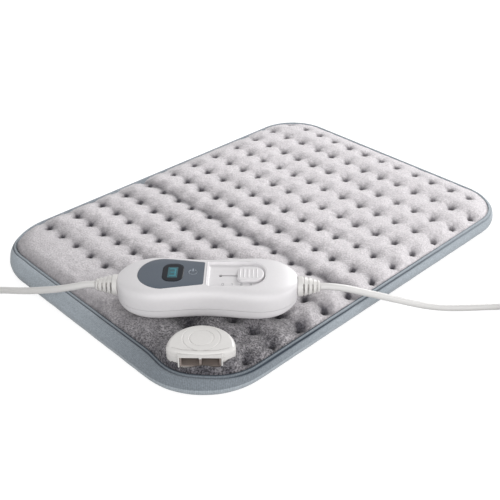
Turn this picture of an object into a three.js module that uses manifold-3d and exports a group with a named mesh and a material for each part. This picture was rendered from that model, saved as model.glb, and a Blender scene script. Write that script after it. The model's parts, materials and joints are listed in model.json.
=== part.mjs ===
// A heating pad with its hand controller: a tufted plush pad with a bound edge and a lead
// socket at one corner, and a controller that lies on it with a lead at each of its ends.
// Lengths are in millimetres, +Z is up, and the origin is on the floor under the pad's middle.

import * as THREE from 'three';
import { mergeVertices } from 'three/addons/utils/BufferGeometryUtils.js';
import Module from 'manifold-3d';

const wasm = await Module();
wasm.setup();

// Clearances and steps
const gap = 0.3; // between pieces that seat on each other
const overrun = 6; // how far a cutting solid runs past what it cuts
const cornerSteps = 7;
const smallCornerSteps = 4;
const bindingSteps = 6;
const roundingShares = [0, 0.3, 0.6, 0.85, 1]; // steps of a quarter turn
const roundSides = 16;

// Pad outline and heights
const padLength = 440;
const padWidth = 320;
const socketEndCornerRadius = 66.5; // at the two corners of the socket's end
const farEndCornerRadius = 52;
const edgeHeight = 18;
const crownHeight = 22;
const crownRamp = 26; // distance from the seam over which the plush rises to its crown
const seamHeight = 16.8;

// Tufts
const tuftRadius = 7;
const tuftFloor = 13;
const tuftLip = 2.5; // how far a tuft's rim lies below the plush around it
const tuftColumnPitch = 32.1;
const tuftRowPitch = 23.5;
const lastColumnInset = 27;
const lastRowInset = 14.4;
const firstRowLeastInset = 12;
const plainStripLeast = 52; // strip without tufts at the socket's end

// Layers of the pad
const flangeWidth = 5; // sewn margin of the covers, held in the binding
const flangeThickness = 2;
const bottomCoverThickness = 3;
const bottomCoverRim = 4.7;
const carrierThickness = 2;
const wireDiameter = 2.4;
const wireSides = 6;
const wireColdMargin = 37; // from the seam to the outer runs of the heating wire
const wireReturnInset = 47.7;
const limiterLength = 16;
const limiterWidth = 9;
const limiterY = 30;

// Lead socket at the pad's corner
const socketFromEnd = 36; // socket centre to the pad's end edge
const socketFromSide = 38; // socket centre to the pad's side edge
const socketTurn = -Math.PI / 4;
const socketRadius = 27.8;
const socketFront = 9; // centre to the middle of the shallow front
const socketSeat = 18.5; // height of the pressed plush under the socket
const socketBaseThickness = 1.6;
const socketHeight = 16.2;
const socketCoverWall = 2;
const socketCoverRoof = 2.6;
const socketTopEdge = 3.4; // rounding of the cover's top edge
const mouthFrameWall = 1.2;
const mouthFrameProud = 0.9; // how far the frame round the slots stands out of the front
const mouthFrameDepth = 4.5;
const slotWidth = 14.2;
const slotHeight = 8.4;
const slotDepth = 15;
const slotDivider = 1.8;
const insertWall = 1.2;
const insertBack = 2.4;
const contactWidth = 7;
const contactThickness = 1;
const contactReach = 5.5; // length of a contact inside its slot
const contactTail = 5;
const backingThickness = 2.3;
const backingMargin = 3; // from the screws to the backing plate's edge
const wireSpacing = 16; // between the two ends of the heating wire
const socketScrewFrontX = 20.4;
const socketScrewFrontY = -1;
const socketScrewBackX = 12;
const socketScrewBackY = 16.5;
const socketScrewDiameter = 2.6;
const socketScrewHead = 4.6;
const socketScrewHeadThickness = 1.4;
const socketScrewThread = 7; // screw's length inside its boss
const socketBossDiameter = 6;

// Controller body
const controllerFromEnd = 90.9; // controller's middle to the pad's end edge
const controllerFromSide = 90.9; // controller's middle to the pad's side edge
const controllerTurn = -Math.PI / 4;
const controllerHalfLength = 77;
const controllerHalfWidth = 35; // before the ends and the waist draw it in
const controllerHeight = 30;
const partingHeight = 11;
const bottomFlat = 0.6; // how much of the rounded underside is cut flat
const shellWall = 2.8;
const waistShare = 0.245;
const waistSpreadShare = 0.58;
const endShare = 0.985;
const endPower = 4;
const sectionPowerTop = 5;
const sectionPowerBottom = 4.5;
const topFallShare = 0.26;
const topFallPower = 5;
const bottomFallShare = 0.7;
const bottomFallPower = 6;
const bodyStations = 18;
const sectionSides = 20;

// Controller face: display panel, window and slider tray
const panelRadius = 22.5;
const panelCentreX = -37.5;
const panelEndX = -2.7;
const panelEndHalfWidth = 17;
const panelCornerRadius = 2;
const panelThickness = 1.2;
const panelLedge = 2.5; // width of the ledge under the panel's edge
const windowCentreX = -29.4;
const windowLength = 18.3;
const windowWidth = 27;
const windowCornerRadius = 6.5;
const trayStartX = -1.2;
const trayEndX = 50.9;
const trayHalfWidth = 19;
const trayEndRadius = 17;
const trayCornerRadius = 3;
const trayDepth = 3; // how far the tray's floor lies below the controller's face
const trayThickness = 1.6;
const trayRim = 1.1;

// Slider
const knobLength = 22.6;
const knobWidth = 21;
const knobHeight = 2.4;
const knobRestX = 37;
const knobEndRadius = 9;
const knobStartRadius = 3;
const knobRidges = 5;
const knobRidgeWidth = 1.3;
const knobRidgeHeight = 0.6;
const knobRidgePitch = 3.6;
const knobRidgeMargin = 4; // from a ridge's end to the knob's side
const sliderTravel = 23.4;
const neckLength = 4;
const neckWidth = 1.4;
const slotEyeDiameter = 2.8; // round end of the slot
const neckSeat = 1.2; // how far the knob's neck reaches into the carriage
const carriageLength = 15;
const carriageWidth = 13;
const carriageThickness = 2.4;
const tongueLength = 8;
const tongueThickness = 2.2;

// Circuit board and what it carries
const boardWidth = 33;
const boardThickness = 1.6;
const boardPostHeight = 9.7;
const boardPostDiameter = 5;
const boardPostInset = 6; // from the board's end
const boardPostSideInset = 4.5; // from the board's side
const boardEndClearance = 3.8; // to the posts of the case screws
const switchWidth = 15;
const switchEndWall = 2;
const switchFloor = 2.7; // under the channel for the carriage's tongue
const displayLength = 12;
const displayWidth = 20;
const displayClearance = 1;
const fuseLength = 20;
const fuseDiameter = 5.2;
const fuseX = -33;
const fuseY = -13;
const triacLength = 10;
const triacThickness = 4.5;
const triacHeadroom = 4; // up to the case's roof
const triacX = -14;
const triacY = 11;
const capacitorDiameter = 9;
const capacitorHeadroom = 2.1;
const capacitorX = -14;
const capacitorY = -8;
const terminalLength = 5;
const terminalWidth = 14;
const terminalHeadroom = 4;
const terminalClearance = 1.7; // to the slide switch

// Case screws
const caseScrewY = 10.5;
const caseScrewDiameter = 3;
const caseScrewHead = 5.6;
const caseScrewHeadThickness = 1.8;
const caseScrewLength = 14;
const caseScrewSink = 2; // how far the screw heads lie above the underside
const caseBossDiameter = 8.4;

// Strain reliefs
const reliefCollarDiameter = 18;
const reliefCollarLength = 4.5;
const reliefEndDiameter = 10.4;
const reliefLength = 20; // from the case's end to the lead
const reliefRibs = 4;
const reliefRibDepth = 1.9;
const reliefGrooveShare = 0.42;
const reliefNeckDiameter = 8.4;
const reliefHeadDiameter = 10.6;
const reliefHeadLength = 3;
const reliefSides = 14;

// Leads
const leadDiameter = 6.2;
const leadSides = 8;
const leadStepLength = 15;
const coilSides = 6;
const coilStepsPerTurn = 24;
const coilPitch = 7.1;
const floorGap = 0.1;
const coilTail = 26; // from the coil to the straight end of the lead
const plugEntry = 7; // straight end of a lead in front of its plug

// Coil of the pad's lead
const padCoilX = -302.7;
const padCoilY = 101.1;
const padCoilRadius = 38.5;
const padCoilStart = Math.PI / 4;
const padCoilTurnsPerLayer = 0.875;

// Coil of the mains lead
const mainsCoilX = 81.7;
const mainsCoilY = -303.2;
const mainsCoilRadius = 46.5;
const mainsCoilStart = 0.895;
const mainsCoilTurnsPerLayer = 2.875;

// Plug of the pad's lead
const padPlugLength = 28;
const padPlugWidth = 36;
const padPlugHeight = 13;
const padPlugCornerRadius = 5;
const padPlugNeck = 12;
const padPlugNeckDiameter = 10;
const padTongueLength = 13;
const padTongueClearance = 0.4;

// Mains plug
const mainsPlugLength = 34;
const mainsPlugWidth = 34;
const mainsPlugHeight = 13.6;
const mainsPlugCornerRadius = 7;
const mainsPlugNeck = 16;
const mainsPlugNeckDiameter = 10;
const mainsPinDiameter = 4;
const mainsPinSpacing = 18.6;
const mainsPinLength = 19;
const mainsPinSeat = 6;

// Routes of the two leads from the controller to their coils, chosen by hand
const padLeadRoute = [
  [-211, 13.2, 36.2],
  [-218.8, 25, 31.6],
  [-225.3, 39, 26.4],
  [-231, 53.5, 21],
  [-236.2, 69.5, 15.4],
  [-241.6, 86.5, 9.8],
  [-248.2, 100, 5.8],
  [-256.8, 110.2, 3.7],
];
const mainsLeadRoute = [
  [-44.2, -152.8, 36.4],
  [-32.6, -160.9, 31.2],
  [-20.4, -169.2, 25.6],
  [-8, -177.2, 19.6],
  [5.2, -186, 13.4],
  [18, -194.8, 8],
  [31, -204.6, 4.4],
  [45, -216.4, 3.2],
  [60, -229.4, 3.2],
  [75, -242, 3.2],
  [90, -252.4, 3.2],
];

// Places that follow from the sizes above
const carrierBottom = bottomCoverThickness + gap;
const carrierTop = carrierBottom + carrierThickness;
const wireBottom = carrierTop + gap;
const coverUnderside = wireBottom + wireDiameter + gap;
const lowerFlangeTop = coverUnderside - gap;
const upperFlangeTop = coverUnderside + flangeThickness;
const bindingRadius = edgeHeight / 2;
const coverInset = bindingRadius + gap;
const flangeInset = coverInset - flangeWidth;
const coreInset = coverInset + bottomCoverRim + gap;
const socketX = socketFromEnd - padLength / 2;
const socketY = socketFromSide - padWidth / 2;
const socketBottom = socketSeat + gap;
const socketBaseTop = socketBottom + socketBaseThickness;
const socketTop = socketBottom + socketHeight;
const insertBottom = socketBaseTop + gap;
const insertHalfWidth = slotWidth + slotDivider / 2 + insertWall;
const insertTop = insertBottom + slotHeight + insertWall * 2;
const insertEndY = -socketFront + slotDepth + insertBack;
const controllerBase = crownHeight + gap;
const controllerX = controllerFromEnd - padLength / 2;
const controllerY = controllerFromSide - padWidth / 2;
const channelLow = knobRestX - sliderTravel - tongueLength / 2 - gap;
const channelHigh = knobRestX + tongueLength / 2 + gap;
const boardHalfLength = channelHigh + switchEndWall + terminalClearance + terminalLength;
const endRoof = partingHeight + (controllerHeight - partingHeight) * (1 - topFallShare) - shellWall;
const reliefAxisHeight = endRoof - gap - reliefHeadDiameter / 2;
const caseScrewX = boardHalfLength + boardEndClearance + caseBossDiameter / 2;
const leadHeight = leadDiameter / 2 + floorGap;

// Geometry helpers

// Merges the vertices that coincide, and keeps only their positions
function bare(geometry) {
  const copy = geometry.clone();
  copy.deleteAttribute('normal');
  copy.deleteAttribute('uv');
  return mergeVertices(copy);
}

function solid(geometry) {
  const merged = bare(geometry);
  return new wasm.Manifold(new wasm.Mesh({
    numProp: 3,
    vertProperties: new Float32Array(merged.attributes.position.array),
    triVerts: new Uint32Array(merged.index.array),
  }));
}

function geometryOf(manifold) {
  const result = manifold.getMesh();
  const geometry = new THREE.BufferGeometry();
  geometry.setAttribute('position', new THREE.Float32BufferAttribute(result.vertProperties, 3));
  geometry.setIndex(new THREE.Uint32BufferAttribute(result.triVerts, 1));
  return geometry;
}

// A closed surface with its faces turned outwards, whichever way they were listed
function closedSurface(points, triangles) {
  let volume = 0;
  for (let i = 0; i < triangles.length; i += 3) {
    const [a, b, c] = [points[triangles[i]], points[triangles[i + 1]], points[triangles[i + 2]]];
    volume += a.dot(b.clone().cross(c));
  }
  const geometry = new THREE.BufferGeometry();
  const places = points.flatMap((p) => [p.x, p.y, p.z]);
  geometry.setAttribute('position', new THREE.Float32BufferAttribute(places, 3));
  geometry.setIndex(volume < 0 ? triangles.slice().reverse() : triangles);
  return geometry;
}

// Skin through rows of points. Each row is a closed loop, and the rows either close on
// themselves or end in flat faces.
function loft(rows, closed = false) {
  const count = rows[0].length;
  const triangles = [];
  const bands = closed ? rows.length : rows.length - 1;
  for (let row = 0; row < bands; row += 1) {
    const next = (row + 1) % rows.length;
    for (let i = 0; i < count; i += 1) {
      const j = (i + 1) % count;
      triangles.push(row * count + i, row * count + j, next * count + j);
      triangles.push(row * count + i, next * count + j, next * count + i);
    }
  }
  if (!closed) {
    const last = (rows.length - 1) * count;
    for (let i = 1; i < count - 1; i += 1) {
      triangles.push(0, i + 1, i);
      triangles.push(last, last + i, last + i + 1);
    }
  }
  return closedSurface(rows.flat(), triangles);
}

// Tube of one unbroken skin along points, with flat ends square to the path
function tubeAlong(points, diameter, sides) {
  const up = new THREE.Vector3(0, 0, 1);
  const rows = points.map((point, i) => {
    const before = points[Math.max(i - 1, 0)];
    const after = points[Math.min(i + 1, points.length - 1)];
    const along = after.clone().sub(before).normalize();
    const side = along.clone().cross(up).normalize();
    const over = side.clone().cross(along);
    return Array.from({ length: sides }, (_, k) => {
      const angle = (k / sides) * Math.PI * 2;
      return point.clone()
        .addScaledVector(side, Math.cos(angle) * diameter / 2)
        .addScaledVector(over, Math.sin(angle) * diameter / 2);
    });
  });
  return loft(rows);
}

function box(minX, maxX, minY, maxY, minZ, maxZ) {
  const geometry = new THREE.BoxGeometry(maxX - minX, maxY - minY, maxZ - minZ);
  geometry.translate((minX + maxX) / 2, (minY + maxY) / 2, (minZ + maxZ) / 2);
  return geometry;
}

function cylinder(diameter, x, y, minZ, maxZ) {
  const radius = diameter / 2;
  const geometry = new THREE.CylinderGeometry(radius, radius, maxZ - minZ, roundSides);
  geometry.rotateX(Math.PI / 2);
  geometry.translate(x, y, (minZ + maxZ) / 2);
  return geometry;
}

function prism(outline, minZ, maxZ) {
  const settings = { depth: maxZ - minZ, bevelEnabled: false };
  const geometry = new THREE.ExtrudeGeometry(new THREE.Shape(outline), settings);
  geometry.translate(0, 0, minZ);
  return geometry;
}

function atHeight(outline, z) {
  return outline.map((p) => new THREE.Vector3(p.x, p.y, z));
}

function piece(name, geometry, material) {
  const mesh = new THREE.Mesh(geometry, material);
  mesh.name = name;
  return mesh;
}

// Materials
function paint(red, green, blue, roughness, metalness = 0) {
  const color = new THREE.Color(red, green, blue);
  return new THREE.MeshStandardMaterial({ color, roughness, metalness });
}

const plush = paint(0.62, 0.61, 0.62, 0.95);
const liningFabric = paint(0.52, 0.53, 0.56, 0.95);
const bindingFabric = paint(0.42, 0.48, 0.52, 0.9);
const carrierFleece = paint(0.85, 0.84, 0.8, 0.95);
const wireSleeve = paint(0.75, 0.3, 0.2, 0.6);
const whitePlastic = paint(0.84, 0.84, 0.85, 0.35);
const warmPlastic = paint(0.83, 0.82, 0.8, 0.45);
const socketPlastic = paint(0.12, 0.1, 0.09, 0.6);
const panelPlastic = paint(0.16, 0.2, 0.24, 0.3);
const windowGlass = paint(0.02, 0.03, 0.04, 0.1);
const boardLaminate = paint(0.05, 0.3, 0.14, 0.5);
const darkPlastic = paint(0.06, 0.06, 0.07, 0.5);
const brass = paint(0.8, 0.6, 0.3, 0.3, 1);
const steel = paint(0.6, 0.6, 0.62, 0.35, 1);
const leadSheath = paint(0.78, 0.77, 0.75, 0.5);

// Outlines, as points in the plane
function arc(centreX, centreY, radius, from, to, steps) {
  return Array.from({ length: steps + 1 }, (_, i) => {
    const angle = from + (to - from) * (i / steps);
    return new THREE.Vector2(
      centreX + radius * Math.cos(angle),
      centreY + radius * Math.sin(angle),
    );
  });
}

// Rectangle with one corner radius at its low x end and one at its high x end
function roundedBox(minX, maxX, minY, maxY, lowRadius, highRadius, steps = smallCornerSteps) {
  const most = Math.min(maxY - minY, maxX - minX) / 2;
  const low = Math.min(lowRadius, most);
  const high = Math.min(highRadius, most);
  return [
    ...arc(maxX - high, maxY - high, high, 0, Math.PI / 2, steps),
    ...arc(minX + low, maxY - low, low, Math.PI / 2, Math.PI, steps),
    ...arc(minX + low, minY + low, low, Math.PI, Math.PI * 3 / 2, steps),
    ...arc(maxX - high, minY + high, high, Math.PI * 3 / 2, Math.PI * 2, steps),
  ];
}

// The pad's outline, drawn in from its edge by inset
function padOutline(inset) {
  const halfLength = padLength / 2 - inset;
  const halfWidth = padWidth / 2 - inset;
  const lowRadius = socketEndCornerRadius - inset;
  const highRadius = farEndCornerRadius - inset;
  return roundedBox(
    -halfLength, halfLength, -halfWidth, halfWidth, lowRadius, highRadius, cornerSteps,
  );
}

// The socket's outline: half a circle at the back, a shallow half ellipse at the front
function socketOutline(inset) {
  const radius = socketRadius - inset;
  const front = socketFront - inset;
  const back = arc(0, 0, radius, 0, Math.PI, cornerSteps * 2);
  const bow = arc(0, 0, radius, Math.PI, Math.PI * 2, cornerSteps * 2).slice(1, -1);
  return [...back, ...bow.map((p) => new THREE.Vector2(p.x, p.y * front / radius))];
}

// Teardrop outline of the display panel
function panelOutline(inset) {
  const radius = panelRadius - inset;
  const half = panelEndHalfWidth - inset;
  const endX = panelEndX - inset;
  const cornerX = endX - panelCornerRadius;
  const cornerY = half - panelCornerRadius;
  const right = Math.PI / 2;
  return [
    ...arc(panelCentreX, 0, radius, right, right * 3, cornerSteps * 2),
    ...arc(cornerX, -cornerY, panelCornerRadius, right * 3, right * 4, smallCornerSteps),
    ...arc(cornerX, cornerY, panelCornerRadius, 0, right, smallCornerSteps),
  ];
}

function windowOutline(inset) {
  const halfLength = windowLength / 2 - inset;
  const halfWidth = windowWidth / 2 - inset;
  const corner = windowCornerRadius - inset;
  const low = windowCentreX - halfLength;
  const high = windowCentreX + halfLength;
  return roundedBox(low, high, -halfWidth, halfWidth, corner, corner);
}

function trayOutline(inset) {
  const halfWidth = trayHalfWidth - inset;
  const endRadius = trayEndRadius - inset;
  const low = trayStartX + inset;
  const high = trayEndX - inset;
  return roundedBox(low, high, -halfWidth, halfWidth, trayCornerRadius, endRadius, cornerSteps);
}

// Pad

// How far a point lies inside the seam between the plush and the binding
function depthInSeam(x, y) {
  const radius = x < 0 ? socketEndCornerRadius : farEndCornerRadius;
  const overX = Math.abs(x) - (padLength / 2 - radius);
  const overY = Math.abs(y) - (padWidth / 2 - radius);
  const outside = Math.hypot(Math.max(overX, 0), Math.max(overY, 0));
  const inside = Math.min(Math.max(overX, overY), 0);
  return radius - coverInset - outside - inside;
}

function plushHeight(x, y) {
  const rise = Math.min(Math.max(depthInSeam(x, y) / crownRamp, 0), 1);
  return seamHeight + (crownHeight - seamHeight) * Math.sin(rise * Math.PI / 2);
}

// Tuft centres along one side of the pad, counted back from the last of them
function tuftCentres(last, length, leastInset, pitch) {
  const count = 1 + Math.floor((length / 2 + last - leastInset) / pitch);
  return Array.from({ length: count }, (_, i) => last - (count - 1 - i) * pitch);
}

const tuftXs = tuftCentres(padLength / 2 - lastColumnInset, padLength, plainStripLeast, tuftColumnPitch);
const tuftYs = tuftCentres(padWidth / 2 - lastRowInset, padWidth, firstRowLeastInset, tuftRowPitch)
  .map((y) => -y)
  .reverse();

// Lines halfway between the tufts, with plain cells out past both edges of the pad
function latticeLines(centres, pitch, edge) {
  const lines = centres.map((c) => c - pitch / 2);
  lines.push(centres[centres.length - 1] + pitch / 2);
  const low = lines[0];
  const high = lines[lines.length - 1];
  const lowCells = Math.max(Math.ceil((low + edge) / pitch), 0);
  const highCells = Math.max(Math.ceil((edge - high) / pitch), 0);
  for (let i = 1; i <= lowCells; i += 1) {
    lines.unshift(low - ((low + edge) * i) / lowCells);
  }
  for (let i = 1; i <= highCells; i += 1) {
    lines.push(high + ((edge - high) * i) / highCells);
  }
  return lines;
}

// A tuft is sewn where it fits inside the seam and clear of the socket
function hasTuft(x, y) {
  const fromSocket = Math.hypot(x - socketX, y - socketY);
  return depthInSeam(x, y) > 0 && fromSocket > socketRadius + tuftRadius / 2;
}

// The tufted plush surface over the whole pad, closed underneath as a plain slab
function tuftedSlab() {
  const xs = latticeLines(tuftXs, tuftColumnPitch, padLength / 2 + overrun);
  const ys = latticeLines(tuftYs, tuftRowPitch, padWidth / 2 + overrun);
  const points = [];
  const triangles = [];
  const add = (x, y, z) => points.push(new THREE.Vector3(x, y, z)) - 1;
  const grid = xs.map((x) => ys.map((y) => add(x, y, plushHeight(x, y))));
  for (let i = 0; i < xs.length - 1; i += 1) {
    for (let j = 0; j < ys.length - 1; j += 1) {
      const corners = [grid[i][j], grid[i + 1][j], grid[i + 1][j + 1], grid[i][j + 1]];
      const x = tuftXs.find((c) => c > xs[i] && c < xs[i + 1]);
      const y = tuftYs.find((c) => c > ys[j] && c < ys[j + 1]);
      if (x === undefined || y === undefined || !hasTuft(x, y)) {
        triangles.push(corners[0], corners[1], corners[2], corners[0], corners[2], corners[3]);
        continue;
      }
      const middle = add(x, y, tuftFloor);
      const rim = [[0, -1], [1, 0], [0, 1], [-1, 0]].map(([sideX, sideY]) => {
        const rimX = x + sideX * tuftRadius;
        const rimY = y + sideY * tuftRadius;
        return add(rimX, rimY, plushHeight(rimX, rimY) - tuftLip);
      });
      for (let k = 0; k < 4; k += 1) {
        const next = (k + 1) % 4;
        triangles.push(middle, rim[k], rim[next]);
        triangles.push(rim[k], corners[k], corners[next]);
        triangles.push(rim[k], corners[next], rim[next]);
      }
    }
  }
  const edge = [
    ...grid.map((column) => column[0]),
    ...grid[grid.length - 1].slice(1),
    ...grid.slice(0, -1).reverse().map((column) => column[ys.length - 1]),
    ...grid[0].slice(1, -1).reverse(),
  ];
  const below = edge.map((i) => add(points[i].x, points[i].y, coverUnderside - overrun));
  for (let i = 0; i < edge.length; i += 1) {
    const j = (i + 1) % edge.length;
    triangles.push(edge[i], below[i], below[j], edge[i], below[j], edge[j]);
    if (i > 0 && j > 0) {
      triangles.push(below[0], below[j], below[i]);
    }
  }
  return solid(closedSurface(points, triangles));
}

function padLayer(inset, minZ, maxZ) {
  return solid(loft([atHeight(padOutline(inset), minZ), atHeight(padOutline(inset), maxZ)]));
}

// Moves a solid from the socket's own frame to the pad's
function atSocket(manifold) {
  const degrees = THREE.MathUtils.radToDeg(socketTurn);
  return manifold.rotate([0, 0, degrees]).translate([socketX, socketY, 0]);
}

const socketScrews = [
  [-socketScrewFrontX, socketScrewFrontY],
  [socketScrewFrontX, socketScrewFrontY],
  [-socketScrewBackX, socketScrewBackY],
  [socketScrewBackX, socketScrewBackY],
];

function socketScrewHoles(minZ, maxZ) {
  const diameter = socketScrewDiameter + gap * 2;
  return socketScrews.map(([x, y]) => solid(cylinder(diameter, x, y, minZ, maxZ)));
}

function topCover() {
  const top = crownHeight + overrun;
  let cover = tuftedSlab().intersect(padLayer(coverInset, coverUnderside, top));
  cover = cover.add(padLayer(flangeInset, coverUnderside, upperFlangeTop));
  const cuts = [
    solid(prism(socketOutline(-gap), socketSeat, top)),
    mouthFrame(gap, socketSeat, top),
    ...socketScrewHoles(coverUnderside - overrun, top),
  ];
  cuts.forEach((cut) => {
    cover = cover.subtract(atSocket(cut));
  });
  return geometryOf(cover);
}

// Tray that holds the heating layer, with a flat underside and a sewn margin
function bottomCover() {
  const rings = [
    [coverInset, 0],
    [coverInset, lowerFlangeTop - flangeThickness],
    [flangeInset, lowerFlangeTop - flangeThickness],
    [flangeInset, lowerFlangeTop],
    [coverInset + bottomCoverRim, lowerFlangeTop],
    [coverInset + bottomCoverRim, bottomCoverThickness],
  ];
  return loft(rings.map(([inset, z]) => atHeight(padOutline(inset), z)));
}

// Rounded tape round the whole edge, with a slot inside it for the sewn margins
function edgeBinding() {
  const [from, to] = [-Math.PI / 2, -Math.PI * 3 / 2];
  const profile = arc(bindingRadius, bindingRadius, bindingRadius, from, to, bindingSteps);
  const slotInset = flangeInset - gap;
  const slotBottom = lowerFlangeTop - flangeThickness - gap;
  const slotTop = upperFlangeTop + gap;
  profile.push(new THREE.Vector2(bindingRadius, slotTop));
  profile.push(new THREE.Vector2(slotInset, slotTop));
  profile.push(new THREE.Vector2(slotInset, slotBottom));
  profile.push(new THREE.Vector2(bindingRadius, slotBottom));
  return loft(profile.map((p) => atHeight(padOutline(p.x), p.y)), true);
}

const backing = {
  minX: -socketScrewFrontX - backingMargin,
  maxX: socketScrewFrontX + backingMargin,
  minY: socketScrewFrontY - backingMargin,
  maxY: socketScrewBackY + backingMargin,
};

function backingOutline(grown) {
  return roundedBox(
    backing.minX - grown, backing.maxX + grown, backing.minY - grown, backing.maxY + grown,
    backingMargin + grown, backingMargin + grown,
  );
}

function heatingCarrier() {
  const sheet = padLayer(coreInset, carrierBottom, carrierTop);
  const window = prism(backingOutline(gap), carrierBottom - overrun, carrierTop + overrun);
  return geometryOf(sheet.subtract(atSocket(solid(window))));
}

// Route of the heating wire: from the socket, back and forth between the rows of tufts, and
// down beside the plain strip to the socket again
function wireRoute() {
  const runs = tuftYs.slice(0, -1)
    .map((y) => y + tuftRowPitch / 2)
    .filter((y) => Math.abs(y) < padWidth / 2 - coverInset - wireColdMargin);
  if (runs.length % 2 === 1) {
    runs.pop();
  }
  const turnRadius = tuftRowPitch / 2;
  const returnX = -padLength / 2 + coverInset + wireReturnInset;
  const lowX = returnX + turnRadius * 2;
  const highX = padLength / 2 - coverInset - wireColdMargin;
  const height = wireBottom + wireDiameter / 2;
  const diagonal = new THREE.Vector2(Math.cos(socketTurn), -Math.sin(socketTurn));
  const wireEnd = (offset) => new THREE.Vector2(offset, backing.maxY + gap)
    .rotateAround(new THREE.Vector2(0, 0), socketTurn)
    .add(new THREE.Vector2(socketX, socketY));
  const first = wireEnd(wireSpacing / 2);
  const last = wireEnd(-wireSpacing / 2);
  const route = [first];
  route.push(first.clone().addScaledVector(diagonal, (runs[0] - first.y) / diagonal.y));
  runs.forEach((y, i) => {
    const forward = i % 2 === 0;
    const endX = forward ? highX : lowX;
    if (i < runs.length - 1) {
      const from = forward ? -Math.PI / 2 : Math.PI * 3 / 2;
      route.push(...arc(endX, y + turnRadius, turnRadius, from, Math.PI / 2, smallCornerSteps + 1));
    }
  });
  const topY = runs[runs.length - 1];
  route.push(...arc(
    returnX + turnRadius, topY - turnRadius, turnRadius, Math.PI / 2, Math.PI, smallCornerSteps,
  ));
  route.push(last.clone().addScaledVector(diagonal, (returnX - last.x) / diagonal.x));
  route.push(last);
  return route.map((p) => new THREE.Vector3(p.x, p.y, height));
}

function limiter() {
  const maxX = -padLength / 2 + coverInset + wireReturnInset - wireDiameter / 2 - gap;
  const minX = maxX - limiterWidth;
  const minY = limiterY - limiterLength / 2;
  return box(minX, maxX, minY, minY + limiterLength, wireBottom, wireBottom + wireDiameter);
}

function backingPlate() {
  const top = coverUnderside - gap;
  const plate = solid(prism(backingOutline(0), top - backingThickness, top));
  const holes = socketScrewHoles(top - overrun, top + overrun);
  const cut = holes.reduce((rest, hole) => rest.subtract(hole), plate);
  return geometryOf(atSocket(cut).intersect(padLayer(coreInset, 0, socketTop)));
}

function buildPad() {
  const pad = new THREE.Group();
  pad.add(piece('top_cover', topCover(), plush));
  pad.add(piece('bottom_cover', bottomCover(), liningFabric));
  pad.add(piece('edge_binding', edgeBinding(), bindingFabric));
  pad.add(piece('heating_carrier', heatingCarrier(), carrierFleece));
  pad.add(piece('heating_wire', tubeAlong(wireRoute(), wireDiameter, wireSides), wireSleeve));
  pad.add(piece('temperature_limiter', limiter(), darkPlastic));
  pad.add(piece('socket_backing_plate', backingPlate(), warmPlastic));
  return pad;
}

// Lead socket, in its own frame with its front towards -Y

function socketBase() {
  const plate = solid(prism(socketOutline(0), socketBottom, socketBaseTop));
  const holes = socketScrewHoles(socketBottom - overrun, socketBaseTop + overrun);
  return geometryOf(holes.reduce((rest, hole) => rest.subtract(hole), plate));
}

// Block round the two slots, standing out of the front; `more` grows it sideways and forwards
function mouthFrame(more, minZ, maxZ) {
  const halfWidth = insertHalfWidth + gap + mouthFrameWall + more;
  const front = -socketFront - mouthFrameProud;
  return solid(box(-halfWidth, halfWidth, front - more, front + mouthFrameDepth, minZ, maxZ));
}

function socketCover() {
  const bottom = socketBaseTop + gap;
  const rounding = roundingShares.map((share) => share * Math.PI / 2);
  const rows = rounding.map((angle) => atHeight(
    socketOutline(socketTopEdge * (1 - Math.cos(angle))),
    socketTop - socketTopEdge * (1 - Math.sin(angle)),
  ));
  let cover = solid(loft([atHeight(socketOutline(0), bottom), ...rows]));
  const roof = socketTop - socketCoverRoof;
  cover = cover.subtract(solid(prism(socketOutline(socketCoverWall), bottom - overrun, roof)));
  socketScrews.forEach(([x, y]) => {
    const boss = solid(cylinder(socketBossDiameter, x, y, bottom, roof + socketCoverRoof / 2));
    const thread = solid(cylinder(
      socketScrewDiameter + gap * 2, x, y, bottom - overrun, bottom + socketScrewThread + gap,
    ));
    cover = cover.add(boss).subtract(thread);
  });
  cover = cover.add(mouthFrame(0, bottom, insertTop + gap + mouthFrameWall));
  const mouth = box(
    -insertHalfWidth - gap, insertHalfWidth + gap,
    -socketFront - overrun, insertEndY + gap,
    bottom - overrun, insertTop + gap,
  );
  return geometryOf(cover.subtract(solid(mouth)));
}

// Block with the two plug slots, set back a little from the cover's front
function socketInsert() {
  const front = -socketFront + gap;
  let block = solid(box(
    -insertHalfWidth, insertHalfWidth, front, insertEndY, insertBottom, insertTop,
  ));
  [-1, 1].forEach((side) => {
    const middleX = side * (slotWidth + slotDivider) / 2;
    const middleZ = (insertBottom + insertTop) / 2;
    const slot = box(
      middleX - slotWidth / 2, middleX + slotWidth / 2,
      front - overrun, -socketFront + slotDepth,
      middleZ - slotHeight / 2, middleZ + slotHeight / 2,
    );
    const passage = box(
      middleX - contactWidth / 2 - gap, middleX + contactWidth / 2 + gap,
      front, insertEndY + overrun,
      middleZ - contactThickness / 2 - gap, middleZ + contactThickness / 2 + gap,
    );
    block = block.subtract(solid(slot)).subtract(solid(passage));
  });
  return geometryOf(block);
}

function socketContact(side) {
  const middleX = side * (slotWidth + slotDivider) / 2;
  const middleZ = (insertBottom + insertTop) / 2;
  const slotEnd = -socketFront + slotDepth;
  return box(
    middleX - contactWidth / 2, middleX + contactWidth / 2,
    slotEnd - contactReach, insertEndY + contactTail,
    middleZ - contactThickness / 2, middleZ + contactThickness / 2,
  );
}

// Pan-headed screw standing on its head
function screw(x, y, minZ, headDiameter, headThickness, diameter, length) {
  const shoulder = minZ + headThickness;
  const head = solid(cylinder(headDiameter, x, y, minZ, shoulder));
  const shank = solid(cylinder(diameter, x, y, shoulder - headThickness / 2, shoulder + length));
  return geometryOf(head.add(shank));
}

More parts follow.
